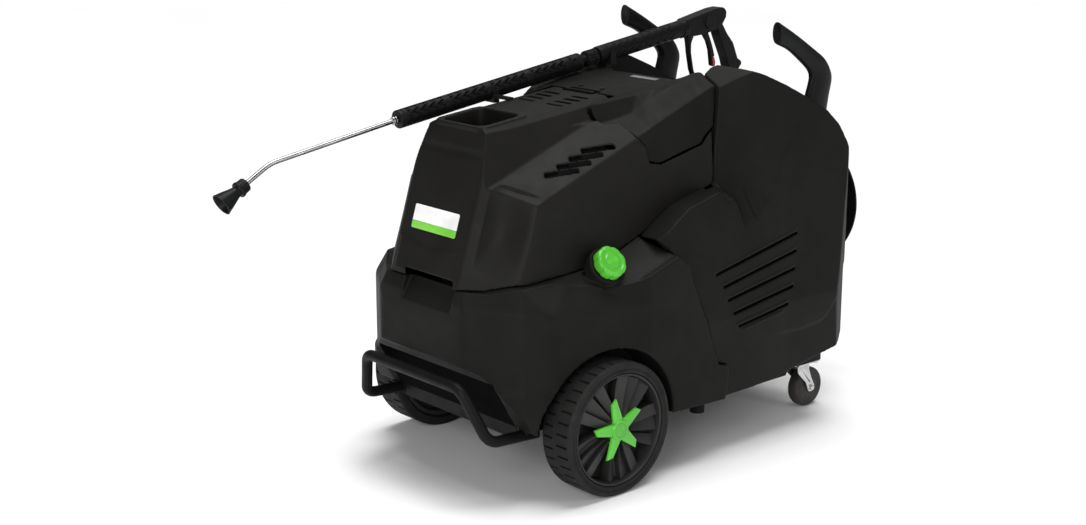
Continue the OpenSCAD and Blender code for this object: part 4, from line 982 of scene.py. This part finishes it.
def sleeve(part, y0, y1, r):
    """Insulating sleeve with rows of sunken chevron slots round it."""
    cell, margin, deep, m = 6.0, 22, 2.6, 48
    span = y1 - y0 - 2 * margin
    n = int(span / cell)
    verts, faces = [], []
    for i in range(n + 1):
        verts += [(r * math.cos(a), y0 + margin + span * i / n, r * math.sin(a)) for a in turns(m)]
    for i in range(n):
        for k in range(m):
            f = (i * m + k, i * m + (k + 1) % m, (i + 1) * m + (k + 1) % m, (i + 1) * m + k)
            sector = k % 8
            phase = (i + min(sector, 8 - sector)) % 4
            if phase not in (1, 2) or sector == 0 or i % 20 >= 17:
                faces.append(f)
                continue
            mid = sum((Vector(verts[j]) for j in f), Vector()) / 4
            base = len(verts)
            for scale, down in ((0.9, 0.1), (0.8, deep)):
                for j in f:
                    q = mid + (Vector(verts[j]) - mid) * scale
                    verts.append((q.x * (r - down) / r, q.y, q.z * (r - down) / r))
            for j in range(4):
                h = (j + 1) % 4
                faces.append((f[j], f[h], base + h, base + j))
                faces.append((base + j, base + h, base + 4 + h, base + 4 + j))
            faces.append((base + 4, base + 5, base + 6, base + 7))
    part.add(verts, faces)
    for s, y in ((1, y0), (-1, y1)):
        profile = [(6.2, 0), (r - 2.5, 0), (r - 0.6, 1.2), (r, 3), (r, 9), (r - 0.9, 9.8), (r - 0.9, 11.6), (r, 12.4),
                   (r, margin)]
        rings = [[(q * math.cos(a), y + s * z, q * math.sin(a)) for a in turns(m)] for q, z in profile]
        part.rings(rings, caps=(False, False))


def lance_sleeve():
    """Sleeve of the lance with the screws of its two halves."""
    part = Parts(LANCE)
    sleeve(part, -436, 108, SLEEVE_R)
    for y in (-380, -250, -120, 10, 80):
        for a in (35, 215):
            place = turned(a, "Y") @ moved(SLEEVE_R - 0.2, y, 0) @ turned(90, "Y")
            part.lathe([(3.6, -0.4), (3.6, 0.3), (3.0, 0.7), (1.6, 0.7), (1.4, -0.2), (TIP, -0.2)], 20, place)
    return part.mesh("lance_sleeve", 30)


def lance_pipe():
    """Bare steel lance with its bend at the nozzle."""
    part = Parts()
    front_y = -470
    front_z = LANCE_Z + math.tan(math.radians(LANCE_SLOPE)) * (front_y - LANCE_Y)
    tilt = math.radians(NOZZLE_TILT)
    along = Vector((0, math.cos(tilt), math.sin(tilt)))
    holder = Vector(NOZZLE_AT)
    path = route([holder - along * 3, holder + along * 88, (LANCE_X, front_y, front_z)], 100, 12)
    part.tube(path + [LANCE @ Vector((0, 160, 0))], PIPE_R)
    for y in (-446, -440):
        part.lathe([(5, -2), (9, -2), (9.6, -1), (9.6, 1), (9, 2), (5, 2)], 36, LANCE @ moved(0, y, 0) @ ALONG)
    return part.mesh("lance_pipe", 45)


def nozzle():
    """Nozzle holder with grip ribs and a flared guard."""
    part = Parts(moved(*NOZZLE_AT) @ turned(90 + NOZZLE_TILT, "X"))

    def ribs(a, r, z):
        return -1.0 if -16 < z < -4 and math.cos(12 * a) < -0.2 else 0

    part.lathe([(5.7, -20), (12, -20), (14.2, -18.8), (15.4, -16.4), (15.8, -5), (17.2, -2.6), (17.7, -1),
                (17.7, 3.4), (16.8, 5), (13, 6), (12.4, 7.4), (12.4, 10), (13.2, 12.4), (17, 25), (21.4, 39),
                (23.2, 46.6), (24.8, 50.4), (25, 51.4), (24.3, 52), (23, 51.8), (21.4, 48), (17.6, 35),
                (13.4, 21.6), (10.6, 18), (4, 17), (4, 4), (5.7, 4)], 96, closed=True, wave=ribs)
    return part.mesh("nozzle", 35)


def union():
    """Screw coupling between lance and gun: ribbed collar and a steel nipple."""
    part = Parts(LANCE)

    def flutes(a, r, z):
        return -1.5 if r > 18 and math.cos(20 * a) < -0.1 else 0

    part.lathe([(6.2, 112), (10, 112), (11.2, 113), (11.2, 118), (12, 118.6), (12, 126), (15, 127.6), (18.6, 128.6),
                (19.8, 130), (19.8, 146), (18.4, 147.6), (17, 148.4), (17, 151), (18.4, 152), (19.6, 153), (19.6, 160),
                (18.4, 161.6), (6.2, 161.6)], 120, ALONG, closed=True, wave=flutes)
    return part.mesh("union", 35)


add_object("lance_sleeve", lance_sleeve(), grip_plastic, "lance", ["lance_grip"])
add_object("lance_pipe", lance_pipe(), lance_steel, "lance", ["lance_tube"])
add_object("nozzle_guard", nozzle(), black_plastic, "lance", ["nozzle"])
add_object("lance_union", union(), black_plastic, "lance", ["coupling_nut"])


def gun_details():
    """Boss rings and seam screws of the gun."""
    part = Parts(LANCE)
    for s in (-1, 1):
        place = moved(s * 22, 543, -2) @ turned(90 * s, "Y")
        part.lathe([(17.2, -3.2), (17.2, -0.4), (16.2, 0.3), (12.8, 0.3), (12.2, -0.6), (5, -0.6), (4.4, 0.2),
                    (TIP, 0.2)], 48, place)
        for y, z in ((480, 4), (590, 4), (622, -96), (640, -132)):
            place = moved(s * 17.9 if z > 0 else s * 14.9, y, z) @ turned(90 * s, "Y")
            part.lathe([(3.8, -1), (3.8, 0.2), (3.2, 0.5), (1.7, 0.5), (1.5, -0.4), (TIP, -0.4)], 20, place)
    return part.mesh("gun_details", 30)


def gun_sleeve():
    part = Parts(LANCE)
    sleeve(part, 167, 452, GUN_SLEEVE_R)
    return part.mesh("gun_sleeve", 30)


add_object("gun_shell", soft_skin("gun_body", voxel=1.0, passes=5, keep=0.3), grip_plastic, "lance",
           ["gun_body"])
add_object("gun_screws_and_boss", gun_details(), black_plastic, "lance")
add_object("gun_sleeve", gun_sleeve(), grip_plastic, "lance")
crisp("trigger_lever", "trigger", black_plastic, "trigger", 0.8)
crisp("latch_tab", "trigger_latch", red_plastic, "latch", 0.5)

# ---------------------------------------------------------------- fuel cap

CAP = moved(275, -226, 499) @ turned(52, "Y")        # z runs along the filler's axis


def fuel_cap():
    """Lobed screw cap with a dished top and a raised centre."""
    part = Parts(CAP)

    def lobes(a, r, z):
        return 2.6 * abs(math.cos(4 * a)) ** 0.6 - 2.6 if r > 28 and z < 24 else 0

    part.lathe([(24.6, 1), (35.5, 1), (36.6, 2.2), (36.9, 6), (36.9, 18), (36, 21.4), (33.6, 23.6), (30, 24.6),
                (27, 24.4), (25, 22.6), (18.5, 22.4), (16.8, 23.4), (15.6, 24.6), (TIP, 25)], 128, wave=lobes)
    part.lathe([(24.6, 1), (24.6, 9)], 64)
    return part.mesh("fuel_cap", 38)


add_object("cap_lobes", fuel_cap(), lime_plastic, "fuel_cap", ["fuel_cap"])
crisp("cap_core", "cap_plug", black_plastic, "cap_plug", 0.6)


# ---------------------------------------------------------------- everything else keeps its CAD form

for name, node, material, body, slot in (
    ("chassis_tray", "chassis", frame_paint, "machine", "frame_black"),
    ("axle_bar", "front_axle", zinc, "machine", "zinc"),
    ("foot_pegs", "feet", foot_rubber, "machine", "rubber_black"),
    ("hinge_leaf_fixed", "hinge_leaf", frame_paint, "machine", "frame_black"),
    ("hinge_leaf_hood", "hood_hinge", frame_paint, "hood", "frame_black"),
    ("clip_rear", "rear_clip", black_plastic, "machine", "grip_black"),
    ("clip_front", "front_clip", black_plastic, "hood", "grip_black"),
    ("boiler_can", "boiler_shell", steel_sheet, "machine", "steel_sheet"),
    ("boiler_tubes", "boiler_coil", steel_tube, "machine", "steel_tube"),
    ("boiler_cover", "boiler_lid", steel_sheet, "machine", "steel_sheet"),
    ("flue_tube", "flue_pipe", steel_sheet, "machine", "steel_sheet"),
    ("blower_case", "burner_blower", cast_paint, "machine", "cast_grey"),
    ("blower_motor", "burner_motor", motor_paint, "machine", "frame_black"),
    ("oil_pump", "fuel_pump", brass, "machine", "brass"),
    ("drive_motor", "electric_motor", motor_paint, "machine", "motor_grey"),
    ("pump_case", "pump_body", cast_metal, "machine", "cast_aluminium"),
    ("pump_manifold", "pump_head", brass, "machine", "brass"),
    ("unloader", "unloader_valve", brass, "machine", "brass"),
    ("pipes", "pressure_pipes", steel_tube, "machine", "steel_tube"),
    ("water_tank", "float_tank", tank_plastic, "machine", "tank_white"),
    ("wiring_box", "electrical_box", black_plastic, "machine", "grip_black"),
    ("gauge", "pressure_gauge", gauge_glass, "machine", "gauge"),
    ("inlet", "water_inlet", brass, "machine", "brass"),
    ("outlet", "outlet_nipple", brass, "machine", "brass"),
    ("gland", "cable_gland", black_plastic, "machine", "grip_black"),
    ("reel_mount", "reel_bracket", frame_paint, "machine", "frame_black"),
    ("reel", "reel_drum", black_plastic, "reel", "grip_black"),
    ("reel_handle", "reel_crank", frame_paint, "reel", "frame_black"),
    ("switch_knob", "main_switch", red_plastic, "main_switch", "red"),
    ("heat_knob", "thermostat_knob", black_plastic, "thermostat", "grip_black"),
    ("soap_knob", "detergent_knob", black_plastic, "detergent", "grip_black"),
):
    crisp(name, node, material, body)
crisp("small_screws", "screws", [zinc, black_plastic], "machine", above=0.4)


# ---------------------------------------------------------------- floor, light and camera


def ground():
    """Wide pale floor."""
    look = Look("floor", (0.9, 0.9, 0.9), 0.8, specular=0.1)
    tone = look.blend(look.between(look.noise(0.6, 3), 0.3, 0.7), (0.89, 0.89, 0.89), (0.92, 0.92, 0.92))
    look.bump(look.noise(40, 3), 0.05, 0.001)
    material = look.done(tone)
    reach = 40.0
    corners = [(-reach, -reach, 0), (reach, -reach, 0), (reach, reach, 0), (-reach, reach, 0)]
    mesh = mesh_from("floor", corners, [(0, 1, 2, 3)])
    mesh.materials.append(material)
    floor = linked("floor", mesh)


# lights: place and target in metres of the row frame, size, watts
BOXES = {
    "front_box": ((1.75, -2.9, 1.45), (0.1, -0.3, 0.6), (1.5, 1.5), 56),
    "right_box": ((2.9, 0.8, 1.6), (0.1, 0, 0.7), (1.1, 1.1), 15),
    "rear_box": ((-2.2, 1.7, 2.0), (0, 0, 0.8), (2.0, 1.5), 3),
}
SKY, SUN, SUN_ANGLE = 0.2, 2.95, 42
SUN_WAY = (0.05, -0.12, -1)


def lights():
    """White world, wide sun from above and three soft boxes."""
    world = bpy.data.worlds.new("studio")
    bpy.context.scene.world = world
    world.use_nodes = True
    background = world.node_tree.nodes["Background"]
    background.inputs["Color"].default_value = (1, 1, 1, 1)
    background.inputs["Strength"].default_value = SKY
    sun = bpy.data.lights.new("sun", "SUN")
    sun.energy, sun.angle = SUN, math.radians(SUN_ANGLE)
    linked("sun", sun).rotation_euler = Vector(SUN_WAY).to_track_quat("-Z", "Y").to_euler()
    for name, (place, target, size, watts) in BOXES.items():
        data = bpy.data.lights.new(name, "AREA")
        data.shape, data.size, data.size_y = "RECTANGLE", size[0], size[1]
        data.energy = watts
        ob = linked(name, data)
        ob.location = place
        ob.rotation_euler = (Vector(target) - Vector(place)).to_track_quat("-Z", "Y").to_euler()


LENS, SENSOR = 57.25, 36
CAMERA_AT = (2.8905, -2.6851 + SHIFT_Y, 1.4277)
CAMERA_DOWN, CAMERA_TURN = 14.42, 48.9547


def camera():
    data = bpy.data.cameras.new("camera")
    data.lens, data.sensor_width = LENS, SENSOR
    ob = linked("camera", data)
    ob.location = CAMERA_AT
    ob.rotation_euler = (math.radians(90 - CAMERA_DOWN), 0, math.radians(CAMERA_TURN))
    bpy.context.scene.camera = ob


ground()
lights()
camera()
bpy.context.scene.view_settings.view_transform = "Standard"
